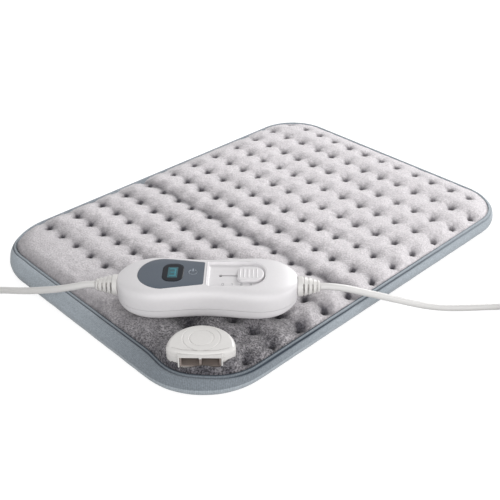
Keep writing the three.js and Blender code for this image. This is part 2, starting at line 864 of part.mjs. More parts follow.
function buildSocket() {
  const socket = new THREE.Group();
  socket.position.set(socketX, socketY, 0);
  socket.rotation.z = socketTurn;
  socket.add(piece('socket_base', socketBase(), warmPlastic));
  socket.add(piece('socket_cover', socketCover(), warmPlastic));
  socket.add(piece('socket_insert', socketInsert(), socketPlastic));
  socket.add(piece('socket_contact_left', socketContact(-1), brass));
  socket.add(piece('socket_contact_right', socketContact(1), brass));
  const plateBottom = coverUnderside - gap - backingThickness;
  const headBottom = plateBottom - gap - socketScrewHeadThickness;
  const shankLength = socketBaseTop + gap + socketScrewThread - plateBottom + gap;
  socketScrews.forEach(([x, y], i) => {
    socket.add(piece(`socket_screw_${i + 1}`, screw(
      x, y, headBottom, socketScrewHead, socketScrewHeadThickness, socketScrewDiameter, shankLength,
    ), steel));
  });
  return socket;
}

// Controller, in its own frame: +X towards its mains end, Z from its underside

function topAt(x) {
  const share = Math.abs(x) / controllerHalfLength;
  const full = controllerHeight - partingHeight;
  return partingHeight + full * (1 - topFallShare * share ** topFallPower);
}

// The controller's rounded body, drawn in from its surface by inset
function controllerBody(inset) {
  const halfLength = controllerHalfLength - inset;
  const rows = Array.from({ length: bodyStations + 1 }, (_, i) => {
    const share = Math.sin((i / bodyStations - 1 / 2) * Math.PI);
    const end = (1 - Math.abs(share * endShare) ** endPower) ** (1 / 2);
    const waist = 1 - waistShare * Math.exp(-((share / waistSpreadShare) ** 2));
    const halfWidth = controllerHalfWidth * end * waist - inset;
    const topFall = 1 - topFallShare * Math.abs(share) ** topFallPower;
    const bottomFall = 1 - bottomFallShare * Math.abs(share) ** bottomFallPower;
    const above = (controllerHeight - partingHeight) * topFall - inset;
    const below = (partingHeight + bottomFlat) * bottomFall - inset;
    return Array.from({ length: sectionSides }, (__, k) => {
      const angle = (k / sectionSides) * Math.PI * 2;
      const upper = Math.sin(angle) >= 0;
      const power = 2 / (upper ? sectionPowerTop : sectionPowerBottom);
      const across = Math.sign(Math.cos(angle)) * Math.abs(Math.cos(angle)) ** power;
      const upright = Math.sign(Math.sin(angle)) * Math.abs(Math.sin(angle)) ** power;
      const z = partingHeight + upright * (upper ? above : below);
      return new THREE.Vector3(share * halfLength, across * halfWidth, z);
    });
  });
  return solid(loft(rows));
}

// Everything between two heights over the whole controller
function slice(minZ, maxZ) {
  const reachX = controllerHalfLength + reliefLength + overrun;
  const reachY = controllerHalfWidth + overrun;
  return solid(box(-reachX, reachX, -reachY, reachY, minZ, maxZ));
}

const outerBody = controllerBody(0).intersect(slice(0, controllerHeight + overrun));
const caseShell = outerBody.subtract(controllerBody(shellWall));
const floorTop = shellWall - bottomFlat;
const headTop = caseScrewSink + caseScrewHeadThickness;
const screwTip = headTop + caseScrewLength;

const caseScrews = [[-1, -1], [-1, 1], [1, -1], [1, 1]]
  .map(([signX, signY]) => [signX * caseScrewX, signY * caseScrewY]);

// Holes for the strain reliefs through both ends of the case, open downwards to its parting line
function reliefHoles() {
  const radius = reliefNeckDiameter / 2 + gap;
  const reach = (controllerHalfLength + overrun) * 2;
  const bar = new THREE.CylinderGeometry(radius, radius, reach, roundSides);
  bar.rotateZ(Math.PI / 2);
  bar.translate(0, 0, reliefAxisHeight);
  const inside = controllerHalfLength - shellWall - gap;
  const middle = box(
    -inside, inside, -controllerHalfWidth, controllerHalfWidth, 0, controllerHeight + overrun,
  );
  const throat = box(-reach / 2, reach / 2, -radius, radius, partingHeight, reliefAxisHeight);
  return solid(bar).add(solid(throat)).subtract(solid(middle));
}

function topShell() {
  const joint = partingHeight + gap / 2;
  const top = controllerHeight + overrun;
  let shell = caseShell.intersect(slice(joint, top));
  caseScrews.forEach(([x, y]) => {
    const post = solid(cylinder(caseBossDiameter, x, y, joint, top)).intersect(outerBody);
    const thread = solid(cylinder(
      caseScrewDiameter + gap * 2, x, y, joint - overrun, screwTip + gap,
    ));
    shell = shell.add(post).subtract(thread);
  });
  const cuts = [
    aboveFace(panelOutline(0), panelThickness + gap),
    solid(prism(windowOutline(-panelLedge), joint, top)),
    solid(prism(trayOutline(0), joint, top)),
    reliefHoles(),
  ];
  return geometryOf(cuts.reduce((rest, cut) => rest.subtract(cut), shell));
}

function bottomShell() {
  const joint = partingHeight - gap / 2;
  let shell = caseShell.intersect(slice(0, joint));
  const boardPosts = [[-1, -1], [-1, 1], [1, -1], [1, 1]].map(([signX, signY]) => cylinder(
    boardPostDiameter,
    signX * (boardHalfLength - boardPostInset),
    signY * (boardWidth / 2 - boardPostSideInset),
    floorTop / 2, Math.min(floorTop + boardPostHeight, joint),
  ));
  boardPosts.forEach((post) => {
    shell = shell.add(solid(post).intersect(outerBody));
  });
  caseScrews.forEach(([x, y]) => {
    const boss = solid(cylinder(caseBossDiameter, x, y, 0, joint)).intersect(outerBody);
    const hole = solid(cylinder(caseScrewDiameter + gap * 2, x, y, -overrun, joint + overrun));
    const recess = solid(cylinder(caseScrewHead + gap * 2, x, y, -overrun, headTop + gap));
    shell = shell.add(boss).subtract(hole).subtract(recess);
  });
  return geometryOf(shell.subtract(reliefHoles()));
}

// Everything inside an outline that lies above the controller's face, or up to a depth below it
function aboveFace(outline, depth) {
  const column = solid(prism(outline, partingHeight, controllerHeight + overrun));
  return column.subtract(outerBody.translate([0, 0, -depth]));
}

// A plate cut from the controller's curved face, with its top flush with it
function facePlate(outline, thickness) {
  return aboveFace(outline, thickness).intersect(outerBody);
}

function displayPanel() {
  const hole = prism(windowOutline(0), partingHeight, controllerHeight + overrun);
  return geometryOf(facePlate(panelOutline(gap), panelThickness).subtract(solid(hole)));
}

function roofAt(x) {
  return topAt(x) - shellWall;
}

function trayUndersideAt(x) {
  return topAt(x) - trayDepth - trayThickness;
}

const slotStart = knobRestX - sliderTravel - neckLength / 2 - gap;
const slotEnd = knobRestX + neckLength / 2 + gap;

function sliderTray() {
  const top = controllerHeight + overrun;
  const plate = facePlate(trayOutline(gap), trayDepth + trayThickness);
  const recess = aboveFace(trayOutline(trayRim), trayDepth);
  const slot = solid(box(
    slotStart, slotEnd, -neckWidth / 2 - gap, neckWidth / 2 + gap, partingHeight, top,
  ));
  const eye = solid(cylinder(slotEyeDiameter, slotStart, 0, partingHeight, top));
  return geometryOf(plate.subtract(recess).subtract(slot).subtract(eye));
}

const knobBottom = controllerHeight - trayDepth + gap;
const carriageTop = trayUndersideAt(knobRestX + carriageLength / 2) - gap * 2;
const carriageBottom = carriageTop - carriageThickness;

function sliderKnob() {
  const low = knobRestX - knobLength / 2;
  const high = knobRestX + knobLength / 2;
  const half = knobWidth / 2;
  const outline = roundedBox(low, high, -half, half, knobStartRadius, knobEndRadius);
  const top = knobBottom + knobHeight;
  let knob = solid(prism(outline, knobBottom, top));
  for (let i = 0; i < knobRidges; i += 1) {
    const x = knobRestX + (i - (knobRidges - 1) / 2) * knobRidgePitch;
    const ridge = box(
      x - knobRidgeWidth / 2, x + knobRidgeWidth / 2,
      knobRidgeMargin - half, half - knobRidgeMargin,
      top - knobHeight / 2, top + knobRidgeHeight,
    );
    knob = knob.add(solid(ridge));
  }
  const neck = box(
    knobRestX - neckLength / 2, knobRestX + neckLength / 2,
    -neckWidth / 2, neckWidth / 2,
    carriageTop - neckSeat, knobBottom + knobHeight / 2,
  );
  return geometryOf(knob.add(solid(neck)));
}

function sliderCarriage() {
  const plate = solid(box(
    knobRestX - carriageLength / 2, knobRestX + carriageLength / 2,
    -carriageWidth / 2, carriageWidth / 2, carriageBottom, carriageTop,
  ));
  const tongue = solid(box(
    knobRestX - tongueLength / 2, knobRestX + tongueLength / 2,
    -tongueThickness / 2, tongueThickness / 2,
    tongueBottom, carriageBottom + carriageThickness / 2,
  ));
  const socket = solid(box(
    knobRestX - neckLength / 2 - gap, knobRestX + neckLength / 2 + gap,
    -neckWidth / 2 - gap, neckWidth / 2 + gap,
    carriageTop - neckSeat - gap, carriageTop + overrun,
  ));
  return geometryOf(plate.add(tongue).subtract(socket));
}

const boardBottom = Math.max(floorTop + boardPostHeight, partingHeight) + gap;
const boardTop = boardBottom + boardThickness;
const partBottom = boardTop + gap;
const tongueBottom = partBottom + switchFloor + gap;

// Slide switch on the board, with a channel for the carriage's tongue over its whole travel
function slideSwitch() {
  const top = carriageBottom - gap;
  const body = solid(box(
    channelLow - switchEndWall, channelHigh + switchEndWall,
    -switchWidth / 2, switchWidth / 2, partBottom, top,
  ));
  const channel = solid(box(
    channelLow, channelHigh, -tongueThickness / 2 - gap, tongueThickness / 2 + gap,
    tongueBottom - gap, top + overrun,
  ));
  return geometryOf(body.subtract(channel));
}

function displayModule() {
  const low = windowCentreX - displayLength / 2;
  const high = windowCentreX + displayLength / 2;
  const top = topAt(low) - panelThickness - displayClearance;
  return box(low, high, -displayWidth / 2, displayWidth / 2, partBottom, top);
}

function fuse() {
  const radius = fuseDiameter / 2;
  const geometry = new THREE.CylinderGeometry(radius, radius, fuseLength, roundSides);
  geometry.rotateZ(Math.PI / 2);
  geometry.translate(fuseX, fuseY, partBottom + radius);
  return geometry;
}

function triac() {
  return box(
    triacX - triacLength / 2, triacX + triacLength / 2,
    triacY - triacThickness / 2, triacY + triacThickness / 2,
    partBottom, roofAt(triacX) - triacHeadroom,
  );
}

function terminal(side) {
  const outer = side * boardHalfLength;
  const inner = outer - side * terminalLength;
  return box(
    Math.min(outer, inner), Math.max(outer, inner), -terminalWidth / 2, terminalWidth / 2,
    partBottom, trayUndersideAt(boardHalfLength) - terminalHeadroom,
  );
}

// Ribbed sleeve at one end of the case: a head inside it, a neck through its wall, a collar
// and tapering ribs outside
function strainRelief(side) {
  const collarEnd = gap + reliefCollarLength;
  const pitch = (reliefLength - collarEnd) / reliefRibs;
  const headEnd = -shellWall - gap;
  const profile = [
    new THREE.Vector2(0, headEnd - reliefHeadLength),
    new THREE.Vector2(reliefHeadDiameter / 2, headEnd - reliefHeadLength),
    new THREE.Vector2(reliefHeadDiameter / 2, headEnd),
    new THREE.Vector2(reliefNeckDiameter / 2, headEnd),
    new THREE.Vector2(reliefNeckDiameter / 2, gap),
    new THREE.Vector2(reliefCollarDiameter / 2, gap),
    new THREE.Vector2(reliefCollarDiameter / 2, collarEnd),
  ];
  for (let i = 0; i < reliefRibs; i += 1) {
    const grooveStart = collarEnd + i * pitch;
    const grooveEnd = grooveStart + pitch * reliefGrooveShare;
    const share = (i + 1) / reliefRibs;
    const radius = (reliefCollarDiameter + (reliefEndDiameter - reliefCollarDiameter) * share) / 2;
    profile.push(new THREE.Vector2(radius - reliefRibDepth, grooveStart));
    profile.push(new THREE.Vector2(radius - reliefRibDepth, grooveEnd));
    profile.push(new THREE.Vector2(radius, grooveEnd));
    profile.push(new THREE.Vector2(radius, collarEnd + (i + 1) * pitch));
  }
  profile.push(new THREE.Vector2(0, reliefLength));
  const geometry = new THREE.LatheGeometry(profile, reliefSides);
  geometry.rotateZ(-Math.PI / 2);
  geometry.translate(controllerHalfLength, 0, reliefAxisHeight);
  if (side < 0) {
    geometry.rotateZ(Math.PI);
  }
  return geometry;
}

function buildController() {
  const controller = new THREE.Group();
  controller.position.set(controllerX, controllerY, controllerBase);
  controller.rotation.z = controllerTurn;
  const capacitor = cylinder(
    capacitorDiameter, capacitorX, capacitorY,
    partBottom, roofAt(capacitorX) - capacitorHeadroom,
  );
  const board = box(
    -boardHalfLength, boardHalfLength, -boardWidth / 2, boardWidth / 2, boardBottom, boardTop,
  );
  controller.add(piece('bottom_shell', bottomShell(), whitePlastic));
  controller.add(piece('top_shell', topShell(), whitePlastic));
  controller.add(piece('display_panel', displayPanel(), panelPlastic));
  const displayWindow = geometryOf(facePlate(windowOutline(gap), panelThickness));
  controller.add(piece('display_window', displayWindow, windowGlass));
  controller.add(piece('slider_tray', sliderTray(), whitePlastic));
  controller.add(piece('slider_knob', sliderKnob(), whitePlastic));
  controller.add(piece('slider_carriage', sliderCarriage(), darkPlastic));
  controller.add(piece('circuit_board', board, boardLaminate));
  controller.add(piece('slide_switch', slideSwitch(), darkPlastic));
  controller.add(piece('display_module', displayModule(), darkPlastic));
  controller.add(piece('fuse', fuse(), steel));
  controller.add(piece('triac', triac(), darkPlastic));
  controller.add(piece('capacitor', capacitor, darkPlastic));
  controller.add(piece('terminal_block_pad', terminal(-1), warmPlastic));
  controller.add(piece('terminal_block_mains', terminal(1), warmPlastic));
  controller.add(piece('strain_relief_pad', strainRelief(-1), warmPlastic));
  controller.add(piece('strain_relief_mains', strainRelief(1), warmPlastic));
  caseScrews.forEach(([x, y], i) => {
    controller.add(piece(`case_screw_${i + 1}`, screw(
      x, y, caseScrewSink, caseScrewHead, caseScrewHeadThickness, caseScrewDiameter, caseScrewLength,
    ), steel));
  });
  return controller;
}

// Leads

function smoothStep(share) {
  const held = Math.min(Math.max(share, 0), 1);
  return held * held * (3 - 2 * held);
}

// A coil in two layers. It spirals in on the floor, climbs a layer in the half turn in which the
// spiral reverses, spirals out on top, and runs off straight to a plug. Way is 1 for a turn
// to the left and -1 for one to the right.
function coilPath(centreX, centreY, outerRadius, start, way, turnsPerLayer, plugHeight) {
  const heading = (angle) => new THREE.Vector3(-way * Math.sin(angle), way * Math.cos(angle), 0);
  const entry = heading(start);
  const points = [];
  const layerAngle = turnsPerLayer * Math.PI * 2;
  const total = layerAngle * 2 + Math.PI;
  const steps = Math.round(total / (Math.PI * 2) * coilStepsPerTurn);
  for (let i = 0; i <= steps; i += 1) {
    const turned = (total * i) / steps;
    const fromEnds = Math.min(turned, total - turned);
    const radius = outerRadius - (coilPitch * fromEnds) / (Math.PI * 2);
    const climb = smoothStep((turned - layerAngle) / Math.PI);
    const angle = start + way * turned;
    points.push(new THREE.Vector3(
      centreX + radius * Math.cos(angle),
      centreY + radius * Math.sin(angle),
      leadHeight + coilPitch * climb,
    ));
  }
  points.unshift(points[0].clone().addScaledVector(entry, -leadDiameter));
  const end = points[points.length - 1];
  const along = heading(start + way * total);
  const tailSteps = smallCornerSteps;
  for (let i = 1; i <= tailSteps; i += 1) {
    const point = end.clone().addScaledVector(along, (coilTail * i) / tailSteps);
    point.z += (plugHeight - end.z) * smoothStep(i / tailSteps);
    points.push(point);
  }
  points.push(points[points.length - 1].clone().addScaledVector(along, plugEntry));
  return { points, entry, along };
}

// Least clear distance between stretches of a coil that lie more than a few diameters apart
// along it
function leastGap(points) {
  const fine = new THREE.CatmullRomCurve3(points).getPoints(points.length * smallCornerSteps);
  const apart = leadDiameter * 3;
  const along = [0];
  fine.slice(1).forEach((point, i) => along.push(along[i] + point.distanceTo(fine[i])));
  let least = Infinity;
  for (let i = 0; i < fine.length; i += 1) {
    for (let j = i + 1; j < fine.length; j += 1) {
      if (along[j] - along[i] > apart) {
        least = Math.min(least, fine[i].distanceTo(fine[j]));
      }
    }
  }
  return least - leadDiameter;
}

function pathLength(points) {
  return points.slice(1).reduce((sum, point, i) => sum + point.distanceTo(points[i]), 0);
}

// Free stretch of a lead from its strain relief to its coil. Side is -1 at the pad's end of the
// controller and 1 at its mains end. Both ends are straight for one diameter.
function leadStretch(side, route, coil) {
  const axis = new THREE.Vector3(side, 0, 0).applyAxisAngle(new THREE.Vector3(0, 0, 1), controllerTurn);
  const start = new THREE.Vector3(controllerX, controllerY, controllerBase + reliefAxisHeight)
    .addScaledVector(axis, controllerHalfLength + reliefLength + gap);
  const end = coil.points[0].clone().addScaledVector(coil.entry, -gap);
  const points = [
    start,
    start.clone().addScaledVector(axis, leadDiameter),
    ...route.map((p) => new THREE.Vector3(...p)),
    end.clone().addScaledVector(coil.entry, -leadDiameter),
    end,
  ];
  const curve = new THREE.CatmullRomCurve3(points, false, 'centripetal');
  const length = curve.getLength();
  const steps = Math.round(length / leadStepLength);
  const section = arc(0, 0, leadDiameter / 2, 0, Math.PI * 2, leadSides).slice(0, -1);
  const settings = { steps, extrudePath: curve, bevelEnabled: false };
  return { geometry: new THREE.ExtrudeGeometry(new THREE.Shape(section), settings), length };
}

// Moves a plug, made along +X from the face where its lead enters, to the end of that lead
function atLeadEnd(geometry, end, along) {
  geometry.rotateZ(Math.atan2(along.y, along.x));
  geometry.translate(end.x + along.x * gap, end.y + along.y * gap, end.z);
  return geometry;
}

// Rounded plug body with a tapering neck at x zero
function plugBody(neck, neckDiameter, length, width, height, cornerRadius) {
  const body = solid(prism(
    roundedBox(neck, neck + length, -width / 2, width / 2, cornerRadius, cornerRadius / 2),
    -height / 2, height / 2,
  ));
  const taper = new THREE.CylinderGeometry(
    neckDiameter / 2, leadDiameter / 2 + gap, neck + cornerRadius, roundSides,
  );
  taper.rotateZ(-Math.PI / 2);
  taper.translate((neck + cornerRadius) / 2, 0, 0);
  return body.add(solid(taper));
}

function padPlug() {
  let plug = plugBody(
    padPlugNeck, padPlugNeckDiameter, padPlugLength, padPlugWidth, padPlugHeight, padPlugCornerRadius,
  );
  const front = padPlugNeck + padPlugLength;
  [-1, 1].forEach((side) => {
    const middleY = side * (slotWidth + slotDivider) / 2;
    const halfWidth = slotWidth / 2 - padTongueClearance;
    const halfHeight = slotHeight / 2 - padTongueClearance;
    const tongue = box(
      front - overrun, front + padTongueLength,
      middleY - halfWidth, middleY + halfWidth, -halfHeight, halfHeight,
    );
    const contactHole = box(
      front, front + padTongueLength + overrun,
      middleY - contactWidth / 2 - gap, middleY + contactWidth / 2 + gap,
      -contactThickness / 2 - gap, contactThickness / 2 + gap,
    );
    plug = plug.add(solid(tongue)).subtract(solid(contactHole));
  });
  return geometryOf(plug);
}

function mainsPin(side, diameter) {
  const radius = diameter / 2;
  const front = mainsPlugNeck + mainsPlugLength;
  const grown = (diameter - mainsPinDiameter) / 2;
  const length = mainsPinSeat + mainsPinLength + grown;
  const geometry = new THREE.CylinderGeometry(radius, radius, length, roundSides);
  geometry.rotateZ(Math.PI / 2);
  geometry.translate(
    front - mainsPinSeat - grown + length / 2, (side * mainsPinSpacing) / 2, 0,
  );
  return geometry;
}

function mainsPlug() {
  const plug = plugBody(
    mainsPlugNeck, mainsPlugNeckDiameter, mainsPlugLength, mainsPlugWidth, mainsPlugHeight,
    mainsPlugCornerRadius,
  );
  const holes = [-1, 1].map((side) => solid(mainsPin(side, mainsPinDiameter + gap * 2)));
  return geometryOf(holes.reduce((rest, hole) => rest.subtract(hole), plug));
}

function buildLeads() {
  const leads = new THREE.Group();
  const padCoil = coilPath(
    padCoilX, padCoilY, padCoilRadius, padCoilStart, 1, padCoilTurnsPerLayer,
    padPlugHeight / 2 + floorGap,
  );
  const mainsCoil = coilPath(
    mainsCoilX, mainsCoilY, mainsCoilRadius, mainsCoilStart, -1, mainsCoilTurnsPerLayer,
    mainsPlugHeight / 2 + floorGap,
  );
  const sets = [
    ['pad', -1, padLeadRoute, padCoil],
    ['mains', 1, mainsLeadRoute, mainsCoil],
  ];
  sets.forEach(([name, side, route, coil]) => {
    const stretch = leadStretch(side, route, coil);
    const coilLength = pathLength(coil.points);
    leads.add(piece(`${name}_lead`, stretch.geometry, leadSheath));
    leads.add(piece(`${name}_lead_coil`, tubeAlong(coil.points, leadDiameter, coilSides), leadSheath));
    console.log(`${name} lead: ${(stretch.length + coilLength).toFixed(1)} mm,`
      + ` least gap in its coil ${leastGap(coil.points).toFixed(2)} mm`);
  });
  const padEnd = padCoil.points[padCoil.points.length - 1];
  const mainsEnd = mainsCoil.points[mainsCoil.points.length - 1];
  leads.add(piece('pad_plug', atLeadEnd(padPlug(), padEnd, padCoil.along), warmPlastic));
  leads.add(piece('mains_plug', atLeadEnd(mainsPlug(), mainsEnd, mainsCoil.along), warmPlastic));
  [-1, 1].forEach((side, i) => {
    const pin = mainsPin(side, mainsPinDiameter);
    leads.add(piece(`mains_pin_${i + 1}`, atLeadEnd(pin, mainsEnd, mainsCoil.along), brass));
  });
  return leads;
}

const heatingPad = new THREE.Group();
heatingPad.add(buildPad());
heatingPad.add(buildSocket());
heatingPad.add(buildController());
heatingPad.add(buildLeads());

export default heatingPad;
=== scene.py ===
"""Looks of a heating pad with its hand controller: tufted plush, bound edge, lead socket,
controller and leads. Lengths are in millimetres up to build(), which makes metres of them."""

import json
import math

import bpy
import bmesh
import numpy as np
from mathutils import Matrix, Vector


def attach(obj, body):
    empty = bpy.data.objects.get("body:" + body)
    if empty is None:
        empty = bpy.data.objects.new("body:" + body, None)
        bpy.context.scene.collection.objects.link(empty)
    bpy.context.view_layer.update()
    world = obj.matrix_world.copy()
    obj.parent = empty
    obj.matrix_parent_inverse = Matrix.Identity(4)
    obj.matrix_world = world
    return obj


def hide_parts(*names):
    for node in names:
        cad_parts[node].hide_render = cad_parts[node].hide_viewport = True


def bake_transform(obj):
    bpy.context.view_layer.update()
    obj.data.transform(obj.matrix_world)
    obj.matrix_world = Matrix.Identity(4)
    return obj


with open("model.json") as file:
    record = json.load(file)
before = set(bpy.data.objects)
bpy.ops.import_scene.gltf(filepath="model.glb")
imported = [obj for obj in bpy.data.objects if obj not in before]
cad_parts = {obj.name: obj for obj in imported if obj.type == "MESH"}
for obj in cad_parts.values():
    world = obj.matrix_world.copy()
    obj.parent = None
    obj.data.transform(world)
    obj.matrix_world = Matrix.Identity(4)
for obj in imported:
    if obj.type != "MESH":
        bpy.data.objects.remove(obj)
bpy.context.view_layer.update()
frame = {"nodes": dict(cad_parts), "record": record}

MM = 0.001
DIAGONAL = -math.pi / 4  # turn of the controller and of the socket
GAP = 0.3
TINY = 1e-6

# Pad
PAD_LENGTH, PAD_WIDTH = 440, 320
SOCKET_END_CORNER, FAR_END_CORNER = 66.5, 52
CROWN_HEIGHT = 22

# Places of the socket and the controller, and its ends, where the leads start
SOCKET_PLACE = (-184, -122, 0)
CONTROLLER_PLACE = (-129.1, -69.1, 22.3)
CASE_HALF_LENGTH = 77
RELIEF_LENGTH, RELIEF_AXIS = 20, 16.66

# Camera
camera_data = bpy.data.cameras.new("camera")
camera_data.lens = 60.92
camera_data.sensor_width = 36
camera = bpy.data.objects.new("camera", camera_data)
camera.location = (-0.51723, -0.52091, 0.46370)
camera.rotation_euler = (math.radians(90 - 33.15), 0, math.radians(-44.17))
bpy.context.scene.collection.objects.link(camera)
bpy.context.scene.camera = camera


# Mesh helpers, with lengths in millimetres


def build(name, points, faces, place=(0, 0, 0), turn=0.0, sharp=35):
    """A mesh object from points in millimetres, turned about Z and moved to its place."""
    co = np.asarray(points, float)
    cos, sin = math.cos(turn), math.sin(turn)
    x = co[:, 0] * cos - co[:, 1] * sin + place[0]
    y = co[:, 0] * sin + co[:, 1] * cos + place[1]
    z = co[:, 2] + place[2]
    mesh = bpy.data.meshes.new(name)
    mesh.from_pydata((np.column_stack([x, y, z]) * MM).tolist(), [], [list(f) for f in faces])
    work = bmesh.new()
    work.from_mesh(mesh)
    bmesh.ops.recalc_face_normals(work, faces=work.faces)
    work.to_mesh(mesh)
    work.free()
    mesh.shade_smooth()
    mesh.set_sharp_from_angle(angle=math.radians(sharp))
    piece = bpy.data.objects.new(name, mesh)
    bpy.context.scene.collection.objects.link(piece)
    return piece


def skin(rows, ring=False):
    """Points and faces of a skin through closed rows, with flat ends unless it is a ring."""
    rows = [np.asarray(row, float) for row in rows]
    count = len(rows[0])
    faces = []
    for k in range(len(rows) if ring else len(rows) - 1):
        low, high = k * count, (k + 1) % len(rows) * count
        for i in range(count):
            j = (i + 1) % count
            faces.append((low + i, low + j, high + j, high + i))
    if not ring:
        last = (len(rows) - 1) * count
        faces += [tuple(range(count)), tuple(range(last, last + count))]
    return np.vstack(rows), faces


def joined(parts):
    """Points and faces of several skins as one."""
    points, faces, start = [], [], 0
    for part_points, part_faces in parts:
        points.append(part_points)
        faces += [tuple(start + i for i in face) for face in part_faces]
        start += len(part_points)
    return np.vstack(points), faces


def at_height(outline, z):
    return np.column_stack([outline, np.full(len(outline), float(z))])


def at_x(x, y, z):
    return np.column_stack([np.full(len(y), float(x)), y, z])


def section(x, half_y, half_z, power=2, steps=56):
    """One row across X, from an ellipse at power 2 to nearly a box at a high power."""
    angles = np.linspace(0, 2 * math.pi, steps, endpoint=False)
    cos, sin = np.cos(angles), np.sin(angles)
    y = np.sign(cos) * np.abs(cos) ** (2 / power) * half_y
    z = np.sign(sin) * np.abs(sin) ** (2 / power) * half_z
    return at_x(x, y, z)


def stacked(outline, profile):
    """Rows of an outline at a list of insets and heights."""
    return [at_height(outline(inset), z) for inset, z in profile]


def block(min_x, max_x, min_y, max_y, min_z, max_z):
    outline = np.array([(min_x, min_y), (max_x, min_y), (max_x, max_y), (min_x, max_y)], float)
    return skin([at_height(outline, min_z), at_height(outline, max_z)])


def arc(x, y, radius, start, end, steps):
    angles = np.linspace(start, end, steps + 1)
    return np.column_stack([x + radius * np.cos(angles), y + radius * np.sin(angles)])


def chained(arcs, between):
    """A closed outline of arcs, with points added on the straight line after each."""
    shares = np.linspace(0, 1, between + 2)[1:-1, None]
    out = []
    for current, following in zip(arcs, arcs[1:] + arcs[:1]):
        out += [current, current[-1] + (following[0] - current[-1]) * shares]
    return np.vstack(out)


def rounded_box(min_x, max_x, min_y, max_y, low_radius, high_radius, steps=8, between=0):
    """A rectangle with rounded corners, of one radius at its low X end and one at the other."""
    quarter = math.pi / 2
    low, high = low_radius, high_radius
    return chained([
        arc(max_x - high, max_y - high, high, 0, quarter, steps),
        arc(min_x + low, max_y - low, low, quarter, 2 * quarter, steps),
        arc(min_x + low, min_y + low, low, 2 * quarter, 3 * quarter, steps),
        arc(max_x - high, min_y + high, high, 3 * quarter, 4 * quarter, steps),
    ], between)


def drawn_in(min_x, max_x, half_y, low_radius, high_radius, steps, between=0, least=0.0):
    """Function that gives a rounded rectangle's outline at an inset. Its radius at the low X
    end stays at least as large as asked for."""
    return lambda inset: rounded_box(
        min_x + inset, max_x - inset, inset - half_y, half_y - inset,
        max(low_radius - inset, least), high_radius - inset, steps, between)


def plate(outline, top, bottom, edge=((0, 0),), rings=10):
    """Closed plate between two heights given as functions of x and y. Edge lists the inset and
    the drop of each step of its top edge."""
    def row(ring, height, drop=0):
        return np.column_stack([ring, height(*ring.T) - drop])

    first, last = outline(0), outline(edge[-1][0])
    middle = first.mean(axis=0)
    shares = np.linspace(1, 0.03, rings)
    rows = [row(middle + (first - middle) * share, bottom) for share in shares[::-1]]
    rows += [row(outline(inset), top, drop) for inset, drop in edge]
    rows += [row(middle + (last - middle) * share, top, edge[-1][1]) for share in shares[1:]]
    return skin(rows)


def at_socket(name, part):
    return build(name, *part, SOCKET_PLACE, DIAGONAL)


def at_controller(name, part):
    return build(name, *part, CONTROLLER_PLACE, DIAGONAL)


def cut(piece, cutter):
    """Takes the cutter's volume out of the piece, and deletes the cutter."""
    change = piece.modifiers.new("cut", "BOOLEAN")
    change.operation = "DIFFERENCE"
    change.solver = "EXACT"
    change.object = cutter
    bpy.context.view_layer.update()
    worked = piece.evaluated_get(bpy.context.evaluated_depsgraph_get())
    done = bpy.data.meshes.new_from_object(worked)
    piece.modifiers.clear()
    piece.data = done
    done.shade_smooth()
    done.set_sharp_from_angle(angle=math.radians(30))
    bpy.data.objects.remove(cutter)


def dress(piece, body, slot, *nodes, finish=None):
    """Puts a finish, or else the slot's own, on a piece that moves with a body and stands for
    CAD nodes."""
    piece.data.materials.clear()
    piece.data.materials.append(materials[finish or slot])
    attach(piece, body)
    if nodes:
        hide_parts(*nodes)
    return piece


def fitted(at, name, part, body, slot, *nodes, taken=(), finish=None):
    """A dressed piece, placed by one of the at functions, with other parts taken out of it."""
    piece = at(name, part)
    for other in taken:
        cut(piece, at("taken", other))
    return dress(piece, body, slot, *nodes, finish=finish)


def point_values(piece, name, values):
    """Keeps a number for each point of a piece, which its material reads."""
    kept = piece.data.attributes.new(name, "FLOAT", "POINT")
    kept.data.foreach_set("value", np.asarray(values, np.float32))


def smooth_step(share):
    held = np.clip(share, 0, 1)
    return held * held * (3 - 2 * held)


def fade(value, start, end):
    """Smooth change from 0 where the value is at the start to 1 where it is at the end. Pairs of
    numbers below are such starts and ends."""
    return smooth_step((value - start) / (end - start))


MOTTLE_CELLS = 256


def mottle(x, y, size, seed):
    """Smooth random swells of about one size, from -1 to 1."""
    cells = MOTTLE_CELLS
    table = np.random.default_rng(seed).uniform(-1, 1, (cells, cells))
    u, v = x / size, y / size
    i, j = np.floor(u).astype(int), np.floor(v).astype(int)
    a, b = smooth_step(u - i), smooth_step(v - j)

    def along(row):
        low, high = table[i % cells, row % cells], table[(i + 1) % cells, row % cells]
        return low * (1 - a) + high * a

    return along(j) * (1 - b) + along(j + 1) * b


# Materials


def add_node(tree, kind, inputs=(), **settings):
    """New shader node. Each input, by its name or number, takes a value or another's output."""
    node = tree.nodes.new("ShaderNode" + kind)
    for name, value in settings.items():
        setattr(node, name, value)
    for key, value in dict(inputs).items():
        if isinstance(value, bpy.types.NodeSocket):
            tree.links.new(value, node.inputs[key])
        else:
            node.inputs[key].default_value = value
    return node


def noise(tree, size, detail):
    """Grain of about one size, fixed to the piece."""
    place = add_node(tree, "TexCoord").outputs["Object"]
    inputs = {"Vector": place, "Scale": 1 / (size * MM), "Detail": detail}
    return add_node(tree, "TexNoise", inputs).outputs["Fac"]


def color_ramp(tree, factor, ends, colors=((0, 0, 0, 1), (1, 1, 1, 1))):
    """Colour that changes from one to the other while the factor goes between two ends."""
    node = add_node(tree, "ValToRGB", {"Fac": factor})
    for element, position, color in zip(node.color_ramp.elements, ends, colors):
        element.position = position
        element.color = color
    return node.outputs["Color"]


GRAIN_DETAIL, STRAND_DETAIL = 3, 2


